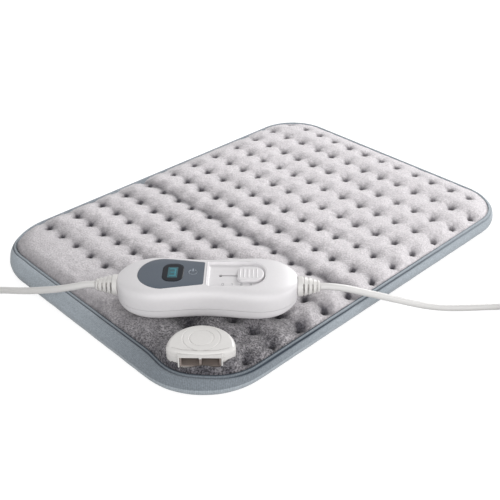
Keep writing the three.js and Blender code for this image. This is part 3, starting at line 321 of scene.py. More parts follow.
def material(color, roughness, grain, size=1.0, bump=0.0, metallic=0.0, sheen=0.0, specular=0.5,
             spread=0.2):
    """Principled material with a fine grain in its colour and its relief. The smaller the
    spread, the harder the grain."""
    made = bpy.data.materials.new("finish")
    made.use_nodes = True
    tree = made.node_tree
    inputs = tree.nodes["Principled BSDF"].inputs
    inputs["Roughness"].default_value = roughness
    inputs["Metallic"].default_value = metallic
    inputs["Sheen Weight"].default_value = sheen
    inputs["Specular IOR Level"].default_value = specular
    grains = noise(tree, size, GRAIN_DETAIL)
    colors = [[min(c * (1 + more), 1) for c in color] + [1] for more in (-grain, grain)]
    tree.links.new(color_ramp(tree, grains, (0.5 - spread, 0.5 + spread), colors),
                   inputs["Base Color"])
    relief = add_node(tree, "Bump", {"Strength": 1, "Distance": bump * MM, "Height": grains})
    tree.links.new(relief.outputs["Normal"], inputs["Normal"])
    return made


materials = {
    "plush": material((0.735, 0.702, 0.722), 1, 0.15, 1.6, 1, sheen=0.3, specular=0.1, spread=0.17),
    "lining_fabric": material((0.42, 0.44, 0.47), 0.95, 0.12, 0.8, 0.2),
    "binding_fabric": material((0.425, 0.47, 0.512), 0.9, 0.16, 1.3, 0.3, sheen=0.25, specular=0.2),
    "carrier_fleece": material((0.80, 0.78, 0.73), 0.95, 0.1, 2, 0.3),
    "wire_sleeve": material((0.62, 0.16, 0.09), 0.6, 0.05),
    "white_plastic": material((0.70, 0.684, 0.697), 0.42, 0.01, 3, 0.01),
    "warm_plastic": material((0.67, 0.655, 0.64), 0.42, 0.015, 2, 0.02),
    "socket_plastic": material((0.27, 0.225, 0.205), 0.6, 0.1, 1, 0.03),
    "panel_plastic": material((0.085, 0.103, 0.130), 0.4, 0.04, 1, 0.01, specular=0.35),
    "window_plastic": material((0.010, 0.012, 0.017), 0.35, 0.05, specular=0.15),
    "board_laminate": material((0.03, 0.20, 0.08), 0.5, 0.1, 2),
    "dark_plastic": material((0.03, 0.03, 0.035), 0.5, 0.1),
    "relief_rubber": material((0.76, 0.745, 0.725), 0.5, 0.015, 2, 0.02),
    "lead_sheath": material((0.66, 0.65, 0.64), 0.4, 0.01, 3, 0.01),
    "brass_contact": material((0.75, 0.55, 0.25), 0.3, 0.04, metallic=1),
    "groove_shade": material((0.45, 0.43, 0.42), 0.6, 0.1),
    "mark_ink": material((0.33, 0.33, 0.34), 0.6, 0.1),
    "sign_ink": material((0.34, 0.38, 0.43), 0.6, 0.1),
    "display_ground": material((0.016, 0.085, 0.105), 0.5, 0.1),
    "display_light": material((0.03, 0.20, 0.25), 0.5, 0.1),
    "steel": material((0.55, 0.55, 0.57), 0.35, 0.04, metallic=1),
}
for name, made in materials.items():
    made.name = name


def shade(tree, factor, color):
    """Multiplies a material's own colour by another, by a factor from its nodes."""
    into = tree.nodes["Principled BSDF"].inputs["Base Color"]
    inputs = {"A": into.links[0].from_socket, "B": (*color, 1), "Factor": factor}
    blend = add_node(tree, "Mix", inputs, data_type="RGBA", blend_type="MULTIPLY")
    tree.links.new(blend.outputs["Result"], into)


def attribute(tree, name):
    return add_node(tree, "Attribute", attribute_name=name).outputs["Fac"]


def worked_out(tree, operation, first, second):
    return add_node(tree, "Math", {0: first, 1: second}, operation=operation).outputs["Value"]


RIB_PITCH, RIB_SHADE = 1.45, 0.16
STRAND_SIZE, STRAND_ENDS = 1.5, (0.42, 0.6)


def ribs(tree):
    """A factor that comes and goes along the tape with its ribs."""
    out = attribute(tree, "along")
    for operation, value in (("MULTIPLY", 2 * math.pi / (RIB_PITCH * MM)), ("SINE", 0),
                             ("MULTIPLY", RIB_SHADE), ("ADD", RIB_SHADE)):
        out = worked_out(tree, operation, out, value)
    return out


def strands(tree):
    """A factor of fine dark gaps between strands, as strong as the points say; near the socket it
    also carries part of the painted shade there.
    """
    gaps = color_ramp(tree, noise(tree, STRAND_SIZE, STRAND_DETAIL), STRAND_ENDS)
    return worked_out(tree, "MULTIPLY", gaps, attribute(tree, "strands"))


plush, binding = materials["plush"].node_tree, materials["binding_fabric"].node_tree
# Painted shade on the plush, with random mottle: in dimples, pits and the seam, on slopes facing -X
# and round the socket
shade(plush, attribute(plush, "tone"), (0.13, 0.13, 0.145))
# fine strands near the socket, whose dark gaps also carry part of the painted shade there
shade(plush, strands(plush), (0.29, 0.29, 0.3))
shade(binding, ribs(binding), (0.35, 0.38, 0.4))
# Painted shade on the tape at its seam and near the front corner, with the stitch line's dark
# thread
shade(binding, attribute(binding, "tone"), (0.08, 0.10, 0.125))


# Leads, first because the view depends on them

LEAD_DIAMETER = 6.2
LEAD_SIDES = 14
COIL_PITCH = 7.1
COIL_TURN_STEPS = 40
LEAD_HEIGHT = 3.2
COIL_TAIL, COIL_TAIL_STEPS = 26, 8
PLUG_ENTRY = 7
ROUTE_STEP = 4

PAD_LEAD_ROUTE = [
    (-211, 13.2, 36.2), (-218.8, 25, 31.6), (-225.3, 39, 26.4), (-231, 53.5, 21),
    (-236.2, 69.5, 15.4), (-241.6, 86.5, 9.8), (-248.2, 100, 5.8), (-256.8, 110.2, 3.7),
]
MAINS_LEAD_ROUTE = [
    (-44.2, -152.8, 36.4), (-32.6, -160.9, 31.2), (-20.4, -169.2, 25.6), (-8, -177.2, 19.6),
    (5.2, -186, 13.4), (18, -194.8, 8), (31, -204.6, 4.4), (45, -216.4, 3.2),
    (60, -229.4, 3.2), (75, -242, 3.2), (90, -252.4, 3.2),
]


def coil_path(centre, outer_radius, start, way, turns_per_layer, plug_height):
    """A two-layer coil: in on the floor, up a layer while the spiral reverses, out on top, and
    off straight to the plug."""
    def heading(angle):
        return way * np.array([-math.sin(angle), math.cos(angle), 0])

    layer = turns_per_layer * 2 * math.pi
    total = layer * 2 + math.pi
    steps = round(total / (2 * math.pi) * COIL_TURN_STEPS)
    turned = np.linspace(0, total, steps + 1)
    radius = outer_radius - COIL_PITCH * np.minimum(turned, total - turned) / (2 * math.pi)
    angle = start + way * turned
    climb = smooth_step((turned - layer) / math.pi)
    points = np.column_stack([centre[0] + radius * np.cos(angle),
                              centre[1] + radius * np.sin(angle),
                              LEAD_HEIGHT + COIL_PITCH * climb])
    entry, along = heading(start), heading(angle[-1])
    share = np.linspace(0, 1, COIL_TAIL_STEPS + 1)[1:]
    tail = points[-1] + np.outer(share * COIL_TAIL, along)
    tail[:, 2] += (plug_height - points[-1][2]) * smooth_step(share)
    first = points[0] - entry * LEAD_DIAMETER
    last = tail[-1] + along * PLUG_ENTRY
    return np.vstack([first, points, tail, last]), entry


def through(points):
    """Centripetal curve through the points, sampled in short steps."""
    def between(a, b, start, end, t):
        return ((end - t) * a + (t - start) * b) / (end - start)

    points = np.asarray(points, float)
    ends = np.vstack([2 * points[0] - points[1], points, 2 * points[-1] - points[-2]])
    out = []
    for p in zip(ends, ends[1:], ends[2:], ends[3:]):
        k = np.cumsum([0] + [math.sqrt(np.linalg.norm(b - a)) for a, b in zip(p, p[1:])])
        parts = max(int(np.linalg.norm(p[2] - p[1]) // ROUTE_STEP), 1)
        for t in np.linspace(k[1], k[2], parts, endpoint=False):
            first = [between(p[i], p[i + 1], k[i], k[i + 1], t) for i in range(3)]
            second = [between(first[i], first[i + 1], k[i], k[i + 2], t) for i in range(2)]
            out.append(between(*second, k[1], k[2], t))
    out.append(points[-1])
    return np.array(out)


def tube(path, diameter, sides):
    """Skin of a tube along a path, its section kept from twisting."""
    path = np.asarray(path, float)
    along = np.gradient(path, axis=0)
    along /= np.linalg.norm(along, axis=1)[:, None]
    side = np.cross(along[0], (0, 0, 1))
    rows = []
    angles = np.linspace(0, 2 * math.pi, sides, endpoint=False)
    for point, way in zip(path, along):
        side = side - way * np.dot(side, way)
        side /= np.linalg.norm(side)
        over = np.cross(side, way)
        ring = np.outer(np.cos(angles), side) + np.outer(np.sin(angles), over)
        rows.append(point + ring * diameter / 2)
    return skin(rows)


def lead(name, side, route, coil, entry, nodes, plug):
    """One lead from its strain relief to its plug."""
    axis = np.array([math.cos(DIAGONAL) * side, math.sin(DIAGONAL) * side, 0])
    start = np.array(CONTROLLER_PLACE, float) + (0, 0, RELIEF_AXIS)
    start += axis * (CASE_HALF_LENGTH + RELIEF_LENGTH + GAP)
    free = through([start, start + axis * LEAD_DIAMETER, *route,
                    coil[0] - entry * LEAD_DIAMETER, coil[0]])
    path = np.vstack([free, coil[1:]])
    points, faces = tube(path, LEAD_DIAMETER, LEAD_SIDES)
    piece = build(name, points, faces)
    piece.data.materials.append(materials["lead_sheath"])
    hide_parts(*nodes)
    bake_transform(piece)
    return piece


PAD_COIL = {"centre": (-302.7, 101.1), "outer_radius": 38.5, "start": math.pi / 4, "way": 1,
            "turns_per_layer": 0.875, "plug_height": 6.6}
MAINS_COIL = {"centre": (81.7, -303.2), "outer_radius": 46.5, "start": 0.895, "way": -1,
              "turns_per_layer": 2.875, "plug_height": 6.9}
TIE_WIDTH, TIE_THICKNESS, TIE_CORNER = 6, 0.8, 3.6
TIE_REACH = 0.995  # cosine of the angle from the tie within which the turns are measured


def coil_tie(name, coil, centre, angle):
    """Band that holds all turns of a coil together at one place."""
    from_centre = coil[:, :2] - centre
    turned = np.arctan2(from_centre[:, 1], from_centre[:, 0]) - angle
    reach = np.hypot(*from_centre.T)[np.cos(turned) > TIE_REACH]
    inner, outer = reach.min() - LEAD_DIAMETER / 2, reach.max() + LEAD_DIAMETER / 2
    top = LEAD_HEIGHT + COIL_PITCH + LEAD_DIAMETER / 2
    rows = []
    for side, more in ((-1, 0), (-1, TIE_THICKNESS), (1, TIE_THICKNESS), (1, 0)):
        loop = rounded_box(inner - more, outer + more, TIE_THICKNESS - more, top + more,
                           TIE_CORNER + more, TIE_CORNER + more, steps=6)
        across = np.full(len(loop), side * TIE_WIDTH / 2)
        rows.append(np.column_stack([loop[:, 0], across, loop[:, 1]]))
    tie = build(name, *skin(rows, ring=True), (*centre, 0), angle)
    dress(tie, "pad", "dark_plastic")


pad_coil, pad_entry = coil_path(**PAD_COIL)
mains_coil, mains_entry = coil_path(**MAINS_COIL)
coil_tie("pad_coil_tie", pad_coil, PAD_COIL["centre"], -math.pi / 2)
coil_tie("mains_coil_tie", mains_coil, MAINS_COIL["centre"], math.pi)

# Plugs, each in a frame of its own with X along the end of its lead

PAD_PLUG = {"neck": 12, "length": 28, "width": 36, "height": 13, "corner": 5}
MAINS_PLUG = {"neck": 16, "length": 34, "width": 34, "height": 13.6, "corner": 7}
PLUG_NECK_RADIUS = 5
PLUG_NECK_RIBS, NECK_RIB_DEPTH = 4, 0.5
PLUG_EDGE = 1.4
PLUG_POWER, TONGUE_POWER = 7, 9  # how nearly their sections are boxes
GRIP_DEPTH, GRIP_RIDGE, GRIP_RIDGES = 1.5, 0.35, 6
TONGUE_LENGTH, TONGUE_WIDTH, TONGUE_HEIGHT, TONGUE_PITCH = 13, 13.4, 7.6, 16
TONGUE_EDGE, TONGUE_ROOT = 0.6, 1
CONTACT_WIDTH, CONTACT_HEIGHT = 7.6, 1.6
PIN_HOLE_RADIUS, PIN_SPACING, PIN_SEAT = 2.3, 18.6, 6.3
PAST = 5  # how far a cutter reaches past what it cuts


def plug_body(neck, length, width, height, corner):
    """Skin of a plug with a ribbed neck, rounded edges and ridged grips on its sides."""
    start = LEAD_DIAMETER / 2 + GAP
    rows = []
    for share in np.linspace(0, 1, 41):
        rib = 0.5 - 0.5 * math.cos(2 * math.pi * PLUG_NECK_RIBS * share)
        radius = start + (PLUG_NECK_RADIUS - start) * share - NECK_RIB_DEPTH * rib * share ** 0.5
        rows.append(section(neck * share, radius, radius))
    for angle in np.linspace(0, math.pi / 2, 9):
        less = 1 - math.sin(angle)
        rows.append(section(neck + corner * (1 - math.cos(angle)), width / 2 - corner * less,
                            height / 2 - PLUG_EDGE * less, PLUG_POWER + (2 - PLUG_POWER) * less))
    for share in np.linspace(0, 1, 61)[1:-1]:
        grip = math.sin(math.pi * share) ** 2
        ridges = GRIP_RIDGE * math.cos(2 * math.pi * GRIP_RIDGES * share)
        x = neck + corner + (length - corner - PLUG_EDGE) * share
        rows.append(section(x, width / 2 - (GRIP_DEPTH + ridges) * grip, height / 2, PLUG_POWER))
    for angle in np.linspace(0, math.pi / 2, 6):
        less = PLUG_EDGE * (1 - math.cos(angle))
        rows.append(section(neck + length - PLUG_EDGE * (1 - math.sin(angle)),
                            width / 2 - less, height / 2 - less, PLUG_POWER))
    return skin(rows)


def at_lead_end(coil):
    """Function that places a part at the end of a lead, turned the same way."""
    along = coil[-1] - coil[-2]
    along = along / np.linalg.norm(along)
    place, turn = coil[-1] + along * GAP, math.atan2(along[1], along[0])
    return lambda name, part: build(name, *part, place, turn)


def pad_plug(coil):
    """Plug of the pad's lead, with a hollow tongue for each of the socket's slots."""
    front = PAD_PLUG["neck"] + PAD_PLUG["length"]
    tip = front + TONGUE_LENGTH
    ends = ((front - TONGUE_ROOT, 0), (tip - TONGUE_EDGE, 0), (tip, TONGUE_EDGE))
    solid, holes = [], []
    for y in (-TONGUE_PITCH / 2, TONGUE_PITCH / 2):
        rows = [section(x, TONGUE_WIDTH / 2 - less, TONGUE_HEIGHT / 2 - less, TONGUE_POWER)
                for x, less in ends]
        solid.append(skin([row + (0, y, 0) for row in rows]))
        holes.append(block(front, tip + PAST, y - CONTACT_WIDTH / 2, y + CONTACT_WIDTH / 2,
                           -CONTACT_HEIGHT / 2, CONTACT_HEIGHT / 2))
    plug = fitted(at_lead_end(coil), "pad_plug_smooth", plug_body(**PAD_PLUG), "pad",
                  "warm_plastic", "pad_plug")
    tongues = fitted(at_lead_end(coil), "plug_tongues", joined(solid), "pad", "warm_plastic",
                     taken=holes)
    return [plug, tongues]


def mains_plug(coil):
    """Mains plug with a hole for each of its pins."""
    front = MAINS_PLUG["neck"] + MAINS_PLUG["length"]
    holes = [skin([section(x, PIN_HOLE_RADIUS, PIN_HOLE_RADIUS, steps=24) + (0, y, 0)
                   for x in (front - PIN_SEAT, front + PAST)])
             for y in (-PIN_SPACING / 2, PIN_SPACING / 2)]
    plug = fitted(at_lead_end(coil), "mains_plug_smooth", plug_body(**MAINS_PLUG), "pad",
                  "warm_plastic", "mains_plug", taken=holes)
    return [plug, frame["nodes"]["mains_pin_1"], frame["nodes"]["mains_pin_2"]]


lead("lead_to_pad", -1, PAD_LEAD_ROUTE, pad_coil, pad_entry,
     ["pad_lead", "pad_lead_coil"], pad_plug(pad_coil))
lead("lead_to_mains", 1, MAINS_LEAD_ROUTE, mains_coil, mains_entry,
     ["mains_lead", "mains_lead_coil"], mains_plug(mains_coil))


# Edge of the pad, and frames of what lies on it

TAPE_REACH = 5.5
TAPE_END_REACH = 9.3  # how much further it reaches at the socket's end
TAPE_END_X, TAPE_END_LOW_Y, TAPE_END_HIGH_Y = (-150, -190), (-150, -75), (145, 100)
TAPE_CORNER_REACH, TAPE_CORNER_SIZE = 3.5, 24
NEAR_CORNER = (-200, -141)
TAPE_TOP, TAPE_RISE = 17.6, 0.09
SEAM_SINK = 0.8
SEAM_FAR_LOSS, SEAM_FAR_WAYS = 0.85, (-0.2, 0.4)
SEAM_HIGH_X_LOSS, SEAM_HIGH_X = 0.5, (0, 200)

SOCKET_RADIUS, SOCKET_FRONT = 27.8, 9
SOCKET_SEAT = 18.45
INSERT_HALF_WIDTH = 16.3
CONTROLLER_CORE, CONTROLLER_ROUND = (55, 8), 22


def corner_radius(x):
    return np.where(np.asarray(x) < 0, SOCKET_END_CORNER, FAR_END_CORNER)


def pad_depth(x, y):
    """How far points lie inside the pad's edge."""
    corner = corner_radius(x)
    over_x = np.abs(x) - (PAD_LENGTH / 2 - corner)
    over_y = np.abs(y) - (PAD_WIDTH / 2 - corner)
    outside = np.hypot(np.maximum(over_x, 0), np.maximum(over_y, 0))
    return corner - outside - np.minimum(np.maximum(over_x, over_y), 0)


def edge_direction(x, y):
    """Unit direction from points near the pad's edge straight out over it."""
    corner = corner_radius(x)
    way_x = x - np.clip(x, corner - PAD_LENGTH / 2, PAD_LENGTH / 2 - corner)
    way_y = y - np.clip(y, corner - PAD_WIDTH / 2, PAD_WIDTH / 2 - corner)
    reach = np.maximum(np.hypot(way_x, way_y), TINY)
    return way_x / reach, way_y / reach


def near_corner(x, y, size):
    """One at the corner in front of the socket, less than half beyond a size from it."""
    return np.exp(-((x - NEAR_CORNER[0]) ** 2 + (y - NEAR_CORNER[1]) ** 2) / size ** 2)


def tape_reach(x, y):
    """How far the edge tape reaches in over the pad: furthest along the socket's end."""
    at_end = fade(x, *TAPE_END_X) * fade(y, *TAPE_END_LOW_Y) * fade(y, *TAPE_END_HIGH_Y)
    at_corner = near_corner(x, y, TAPE_CORNER_SIZE)
    return TAPE_REACH + TAPE_END_REACH * at_end + TAPE_CORNER_REACH * at_corner


def tape_top(reach):
    """Height of the tape's sewn edge."""
    return TAPE_TOP + TAPE_RISE * (reach - TAPE_REACH)


def seam_shade(x, y):
    """How strong the painted shade at the seam beside the tape is: weak along the far edges and
    towards +X.
    """
    way_x, way_y = edge_direction(x, y)
    shallow = 1 - SEAM_FAR_LOSS * fade(way_x + way_y, *SEAM_FAR_WAYS)
    return shallow * (1 - SEAM_HIGH_X_LOSS * fade(x, *SEAM_HIGH_X))


def in_frame(place, x, y):
    """Points of the pad in the socket's or the controller's own frame."""
    over_x, over_y = x - place[0], y - place[1]
    cos, sin = math.cos(DIAGONAL), math.sin(DIAGONAL)
    return over_x * cos + over_y * sin, over_y * cos - over_x * sin


def outside_socket(x, y):
    """How far points in the socket's frame lie outside it, less than zero inside it."""
    squeeze = np.where(y < 0, SOCKET_RADIUS / SOCKET_FRONT, 1)
    reach = np.hypot(x, y * squeeze)
    return (reach - SOCKET_RADIUS) * np.hypot(x, y) / np.maximum(reach, TINY)


def socket_distance(x, y):
    return outside_socket(*in_frame(SOCKET_PLACE, x, y))


def controller_distance(x, y):
    """Roughly how far points of the pad lie outside the controller's outline."""
    local_x, local_y = in_frame(CONTROLLER_PLACE, x, y)
    past_x = np.maximum(np.abs(local_x) - CONTROLLER_CORE[0], 0)
    past_y = np.maximum(np.abs(local_y) - CONTROLLER_CORE[1], 0)
    return np.hypot(past_x, past_y) - CONTROLLER_ROUND


# Plush

GRID_STEP = 1.1
CROWN_RAMP = 14
FAR_CROWN_RAMP, FAR_RAMP_PLACE = 8, (-60, 140)  # how much longer the rise is far off
SOCKET_CROWN_RAMP, SOCKET_RAMP_REACH = 8.5, (90, 40)  # how much shorter it is at the socket
PUFF_HEIGHT, PUFF_REACH = 1.4, (0, 14)  # how far the plush stands above its controller seat
SOCKET_MIDDLE = (-190, -130)
NEAR_REACH = (170, 40)
SKIRT_BOTTOM, SKIRT_DEPTH = 9.2, 3

FRONT_SWELL, SIDE_SWELL, SWELL_REACH = 1, 3.8, 7
SWELL_SIDES, SWELL_BACK = (12, 24), (0, 14)
MOUTH_MARGIN = 0.9
SEAT_EDGE, MOUTH_SEAT_EDGE = (-1.6, -0.4), (-1.1, 0.1)

TUFT_PITCH_X, TUFT_PITCH_Y = 32.1, 23.5
TUFT_X = [-160.1 + TUFT_PITCH_X * i for i in range(12)]
TUFT_Y = [-145.6 + TUFT_PITCH_Y * j for j in range(13)]
TUFT_SEED, TUFT_SHIFT, TUFT_STRENGTH = 7, 0.7, (0.82, 1.18)
TUFT_TO_TAPE, TUFT_TO_SOCKET = 6, 3  # least distances
TUFT_CLEARANCE = (1, 10)
DIMPLE_DEPTH, DIMPLE_POWER = 5.2, 1.6
PIT_DEPTH, PIT_RADIUS = 6.5, 2.05
WRINKLES, WRINKLE_SHARE, WRINKLE_TURN = 5, 0.14, 40
CREASE_SHARE = 0.46
DEEP_CREASE_SHARE, DEEP_CREASE_COLUMN = 0.95, 4
CREASE_LOSS, CREASE_LOSS_X = 0.6, (-40, 60)
CREASE_FLOOR = 1.2  # half width of its rounded floor
SCALLOP = 5  # how far the plush bulges over its deepest creases between two tufts
NEAR_DEPTH, EDGE_DEPTH, EDGE_RAMP = 0.5, 0.35, 9
WAVE_DEPTH, WAVE_X, WAVE_Y = 0.3, (19, 1.3), (16, 0.4)  # waves of a length and a shift
FOLD_SHARE, NEAR_FOLD_SHARE, FOLD_DEPTH = 0.35, 0.75, 1.2

# Random swells as rows of strength, size and seed
FOLDS = ((0.8, 9, 3), (0.5, 4, 4))
TONES = ((0.16, 6, 5), (0.2, 2.6, 6))
STRAND_TONE = ((1.6, 2.2, 8),)

# Painted shade on the plush: round the socket, towards the socket end, on slopes facing -X, in
# dimples, in the seam and in the pits
NEAR_SOCKET_PAINTED_SHADE, NEAR_SOCKET_SHADE_REACH = 0.585, (175, 35)
END_PAINTED_SHADE, END_SHADE_X = 0.24, (-85, -215)
SLOPE_PAINTED_SHADE, DIMPLE_PAINTED_SHADE, DIMPLE_SHADE_POWER = 0.56, 0.5, 1.5
SEAM_PAINTED_SHADE, SEAM_SHADE_REACH = 0.5, 1.3
FAR_TONE_LOSS, FAR_TONE_X = 0.3, (-20, 120)
STRAND_TONE_SHARE, PIT_PAINTED_SHADE = 0.25, 0.97


def swells(x, y, rows):
    return sum(strength * mottle(x, y, size, seed) for strength, size, seed in rows)


def is_sewn(column, rows):
    """Which tufts of a column are there."""
    here = np.full(len(rows), column)
    clear_of_tape = pad_depth(here, rows) > TAPE_REACH + TUFT_TO_TAPE
    return clear_of_tape & (socket_distance(here, rows) > TUFT_TO_SOCKET)


def crease_share(number):
    """Depth of a column's crease between two tufts, of the dimple's depth."""
    share = DEEP_CREASE_SHARE if number == DEEP_CREASE_COLUMN else CREASE_SHARE
    return share * (1 - CREASE_LOSS * fade(TUFT_X[number], *CREASE_LOSS_X))


def tufting(x, y):
    """How far the stitching pulls the plush down, and how near each point is to a tuft."""
    rng = np.random.default_rng(TUFT_SEED)
    down, tufted = np.zeros_like(x), np.zeros_like(x)
    rows = np.array(TUFT_Y)
    nearest = np.clip(np.round((y - rows[0]) / TUFT_PITCH_Y).astype(int), 0, len(rows) - 1)
    clear = fade(socket_distance(x, y), *TUFT_CLEARANCE)
    for i, column in enumerate(TUFT_X):
        shift_x = rng.normal(0, TUFT_SHIFT, len(rows))
        shift_y = rng.normal(0, TUFT_SHIFT, len(rows))
        strength = rng.uniform(*TUFT_STRENGTH, len(rows))
        sewn = is_sewn(column, rows)[nearest]
        crease = crease_share(i)
        off_x = x - (column + np.interp(y, rows, shift_x))
        off_y = y - rows[nearest] - shift_y[nearest]
        bulge = SCALLOP * crease * np.abs(np.sin(np.pi * off_y / TUFT_PITCH_Y))
        turned = np.arctan2(off_y, off_x)
        wrinkle = 1 + WRINKLE_SHARE * np.sin(WRINKLES * turned + WRINKLE_TURN * strength[nearest])
        off_crease = np.hypot(off_x - bulge, CREASE_FLOOR) - CREASE_FLOOR
        across = np.clip(1 - off_crease / (TUFT_PITCH_X / 2), 0, 1) ** 2
        along = sewn * np.clip(1 - np.abs(off_y) / (TUFT_PITCH_Y / 2), 0, 1) ** DIMPLE_POWER
        depth = DIMPLE_DEPTH * np.interp(y, rows, strength)
        down += depth * clear * across * (crease + (1 - crease) * along * wrinkle)
        pit = sewn * np.exp(-(np.hypot(off_x, off_y) / PIT_RADIUS) ** 2)
        down += PIT_DEPTH * pit
        tufted = np.maximum(tufted, pit)
    return down, tufted


def plush_heights(x, y, depth, seam, from_socket):
    """Heights of the plush, how far it is drawn down there, and how near a tuft is."""
    near = fade(from_socket, *NEAR_REACH)
    crown = CROWN_HEIGHT + PUFF_HEIGHT * fade(controller_distance(x, y), *PUFF_REACH)
    length = CROWN_RAMP + FAR_CROWN_RAMP * fade(x + y, *FAR_RAMP_PLACE)
    length -= SOCKET_CROWN_RAMP * fade(from_socket, *SOCKET_RAMP_REACH)
    rise = np.clip(depth / length, 0, 1)
    down, tufted = tufting(x, y)
    down = down * np.clip(EDGE_DEPTH + depth / EDGE_RAMP, 0, 1) * (1 + NEAR_DEPTH * near)
    waves = np.sin(x / WAVE_X[0] + WAVE_X[1]) * np.sin(y / WAVE_Y[0] + WAVE_Y[1])
    down += WAVE_DEPTH * (1 - waves)
    down += (FOLD_SHARE + NEAR_FOLD_SHARE * near) * (FOLD_DEPTH - swells(x, y, FOLDS))
    z = seam + (crown - seam) * np.sin(rise * math.pi / 2) - down * (rise > 0)
    return np.maximum(z, SKIRT_BOTTOM), down, tufted


def round_socket(x, y, z):
    """Heights of the plush with its swell round the socket, which goes on inside its wall."""
    side_x, side_y = in_frame(SOCKET_PLACE, x, y)
    away = outside_socket(side_x, side_y)
    at_mouth = (np.abs(side_x) < INSERT_HALF_WIDTH) & (side_y < 0)
    away = np.where(at_mouth, np.minimum(away, -side_y - SOCKET_FRONT - MOUTH_MARGIN), away)
    beside = np.clip(fade(np.abs(side_x), *SWELL_SIDES) + fade(side_y, *SWELL_BACK), 0, 1)
    swell = FRONT_SWELL + (SIDE_SWELL - FRONT_SWELL) * beside
    z = z + swell * np.exp(-(np.maximum(away, 0) / SWELL_REACH) ** 2)
    shown = np.where(at_mouth, fade(away, *MOUTH_SEAT_EDGE), fade(away, *SEAT_EDGE))
    return SOCKET_SEAT + (z - SOCKET_SEAT) * shown


def plush_shade_and_tone(x, y, z, depth, down, tufted, from_socket):
    """Painted shade on the pile, with random mottle: darker on slopes that face -X, away from the
    key lamp, in the dimples, pits and seam, and towards the socket.
    """
    near = fade(from_socket, *NEAR_REACH)
    # painted shade round the socket, fading out with distance from it, and towards the socket end
    # of the pad
    unshaded = 1 - NEAR_SOCKET_PAINTED_SHADE * fade(from_socket, *NEAR_SOCKET_SHADE_REACH)
    unshaded *= 1 - END_PAINTED_SHADE * fade(x, *END_SHADE_X)
    # painted shade on slopes that face -X, away from the key lamp
    tone = SLOPE_PAINTED_SHADE * np.clip(np.gradient(z, GRID_STEP, axis=0), 0, 1)
    # painted shade in the dimples and creases
    tone += DIMPLE_PAINTED_SHADE * np.clip(down / DIMPLE_DEPTH, 0, 1) ** DIMPLE_SHADE_POWER
    # painted shade in the seam beside the tape
    seam = np.exp(-(np.maximum(depth, 0) / SEAM_SHADE_REACH) ** 2)
    tone += SEAM_PAINTED_SHADE * seam_shade(x, y) * seam
    tone *= 1 - FAR_TONE_LOSS * fade(x, *FAR_TONE_X)
    tone += (FOLD_SHARE + NEAR_FOLD_SHARE * near) * swells(x, y, TONES)
    tone += STRAND_TONE_SHARE * near ** 2 * np.clip(swells(x + y / 3, y, STRAND_TONE), -1, 1)
    # pits painted dark: painted shade in the deep holes, with the tuft's own thread
    return np.clip(1 - (1 - tone) * unshaded * (1 - PIT_PAINTED_SHADE * tufted), 0, 1)


def grid_piece(name, x, y, z, kept):
    """A piece from the kept points of a grid, and their numbers in the grid."""
    whole = kept[:-1, :-1] & kept[1:, :-1] & kept[:-1, 1:] & kept[1:, 1:]
    count = x.shape[1]
    i, j = np.nonzero(whole)
    corner = i * count + j
    faces = np.column_stack([corner, corner + count, corner + count + 1, corner + 1])
    used = np.unique(faces)
    renumber = np.full(x.size, -1)
    renumber[used] = np.arange(len(used))
    points = np.dstack([x, y, z]).reshape(-1, 3)[used]
    return build(name, points, renumber[faces], sharp=180), used


def plush_cover():
    """The tufted top, as a fine grid that folds down into a skirt under the tape."""
    xs = np.arange(-PAD_LENGTH / 2, PAD_LENGTH / 2 + GRID_STEP, GRID_STEP)
    ys = np.arange(-PAD_WIDTH / 2, PAD_WIDTH / 2 + GRID_STEP, GRID_STEP)
    x, y = np.meshgrid(xs, ys, indexing="ij")
    reach = tape_reach(x, y)
    depth = pad_depth(x, y) - reach
    seam = tape_top(reach) - SEAM_SINK
    from_socket = np.hypot(x - SOCKET_MIDDLE[0], y - SOCKET_MIDDLE[1])
    z, down, tufted = plush_heights(x, y, depth, seam, from_socket)
    z = round_socket(x, y, z)
    tone = plush_shade_and_tone(x, y, z, depth, down, tufted, from_socket)

    outside = np.minimum(depth, 0)
    z = np.where(depth < 0, seam + outside, z)
    way_x, way_y = edge_direction(x, y)
    piece, used = grid_piece("plush_cover", x + way_x * outside, y + way_y * outside, z,
                             depth > -SKIRT_DEPTH)
    # painted shade of the plush, with random mottle, for its material
    point_values(piece, "tone", tone.ravel()[used])
    point_values(piece, "strands", fade(from_socket, *NEAR_REACH).ravel()[used])
    return dress(piece, "pad", "plush", "top_cover")


plush_cover()

# Edge tape

BINDING_RADIUS = 9
STITCH_FROM_SEAM, STITCH_WIDTH, STITCH_DEPTH = 2.9, 0.75, 0.8
STITCH_IN, STITCH_DOWN = 0.5, 0.8  # how its groove's depth splits into sideways and down
# Dark lines on the tape: painted shade at its seam, the stitch thread with painted shade in its
# groove, painted shade near the front corner
STITCH_THREAD_AND_SHADE, STITCH_CORNER_LOSS, STITCH_CORNER_SIZE = 0.9, 0.75, 50
SEAM_WIDTH, TAPE_SEAM_PAINTED_SHADE = 1, 0.92
TAPE_NEAR_PAINTED_SHADE, TAPE_NEAR_SHADE_REACH = 0.52, (190, 30)
GATHER_DEPTH, GATHER_LENGTH, GATHER_GROUP = 0.14, 2.9, 13
PUCKER_DEPTH, PUCKER_LENGTH = 0.12, 7.3
TAPE_SWELL_TOP = 2 * BINDING_RADIUS
TAPE_INSET = 0.25  # how far its outside stays within the solid's
TAPE_INSIDE, TAPE_BOTTOM = 9.2, 0.4
HEM_DROP, HEM_FOLD, HEM_HEIGHTS = 1.2, (0.15, 0.2, -0.05), (14, 5)  # its part under the plush

pad_outline = drawn_in(-PAD_LENGTH / 2, PAD_LENGTH / 2, PAD_WIDTH / 2, SOCKET_END_CORNER,
                       FAR_END_CORNER, 24, 70)


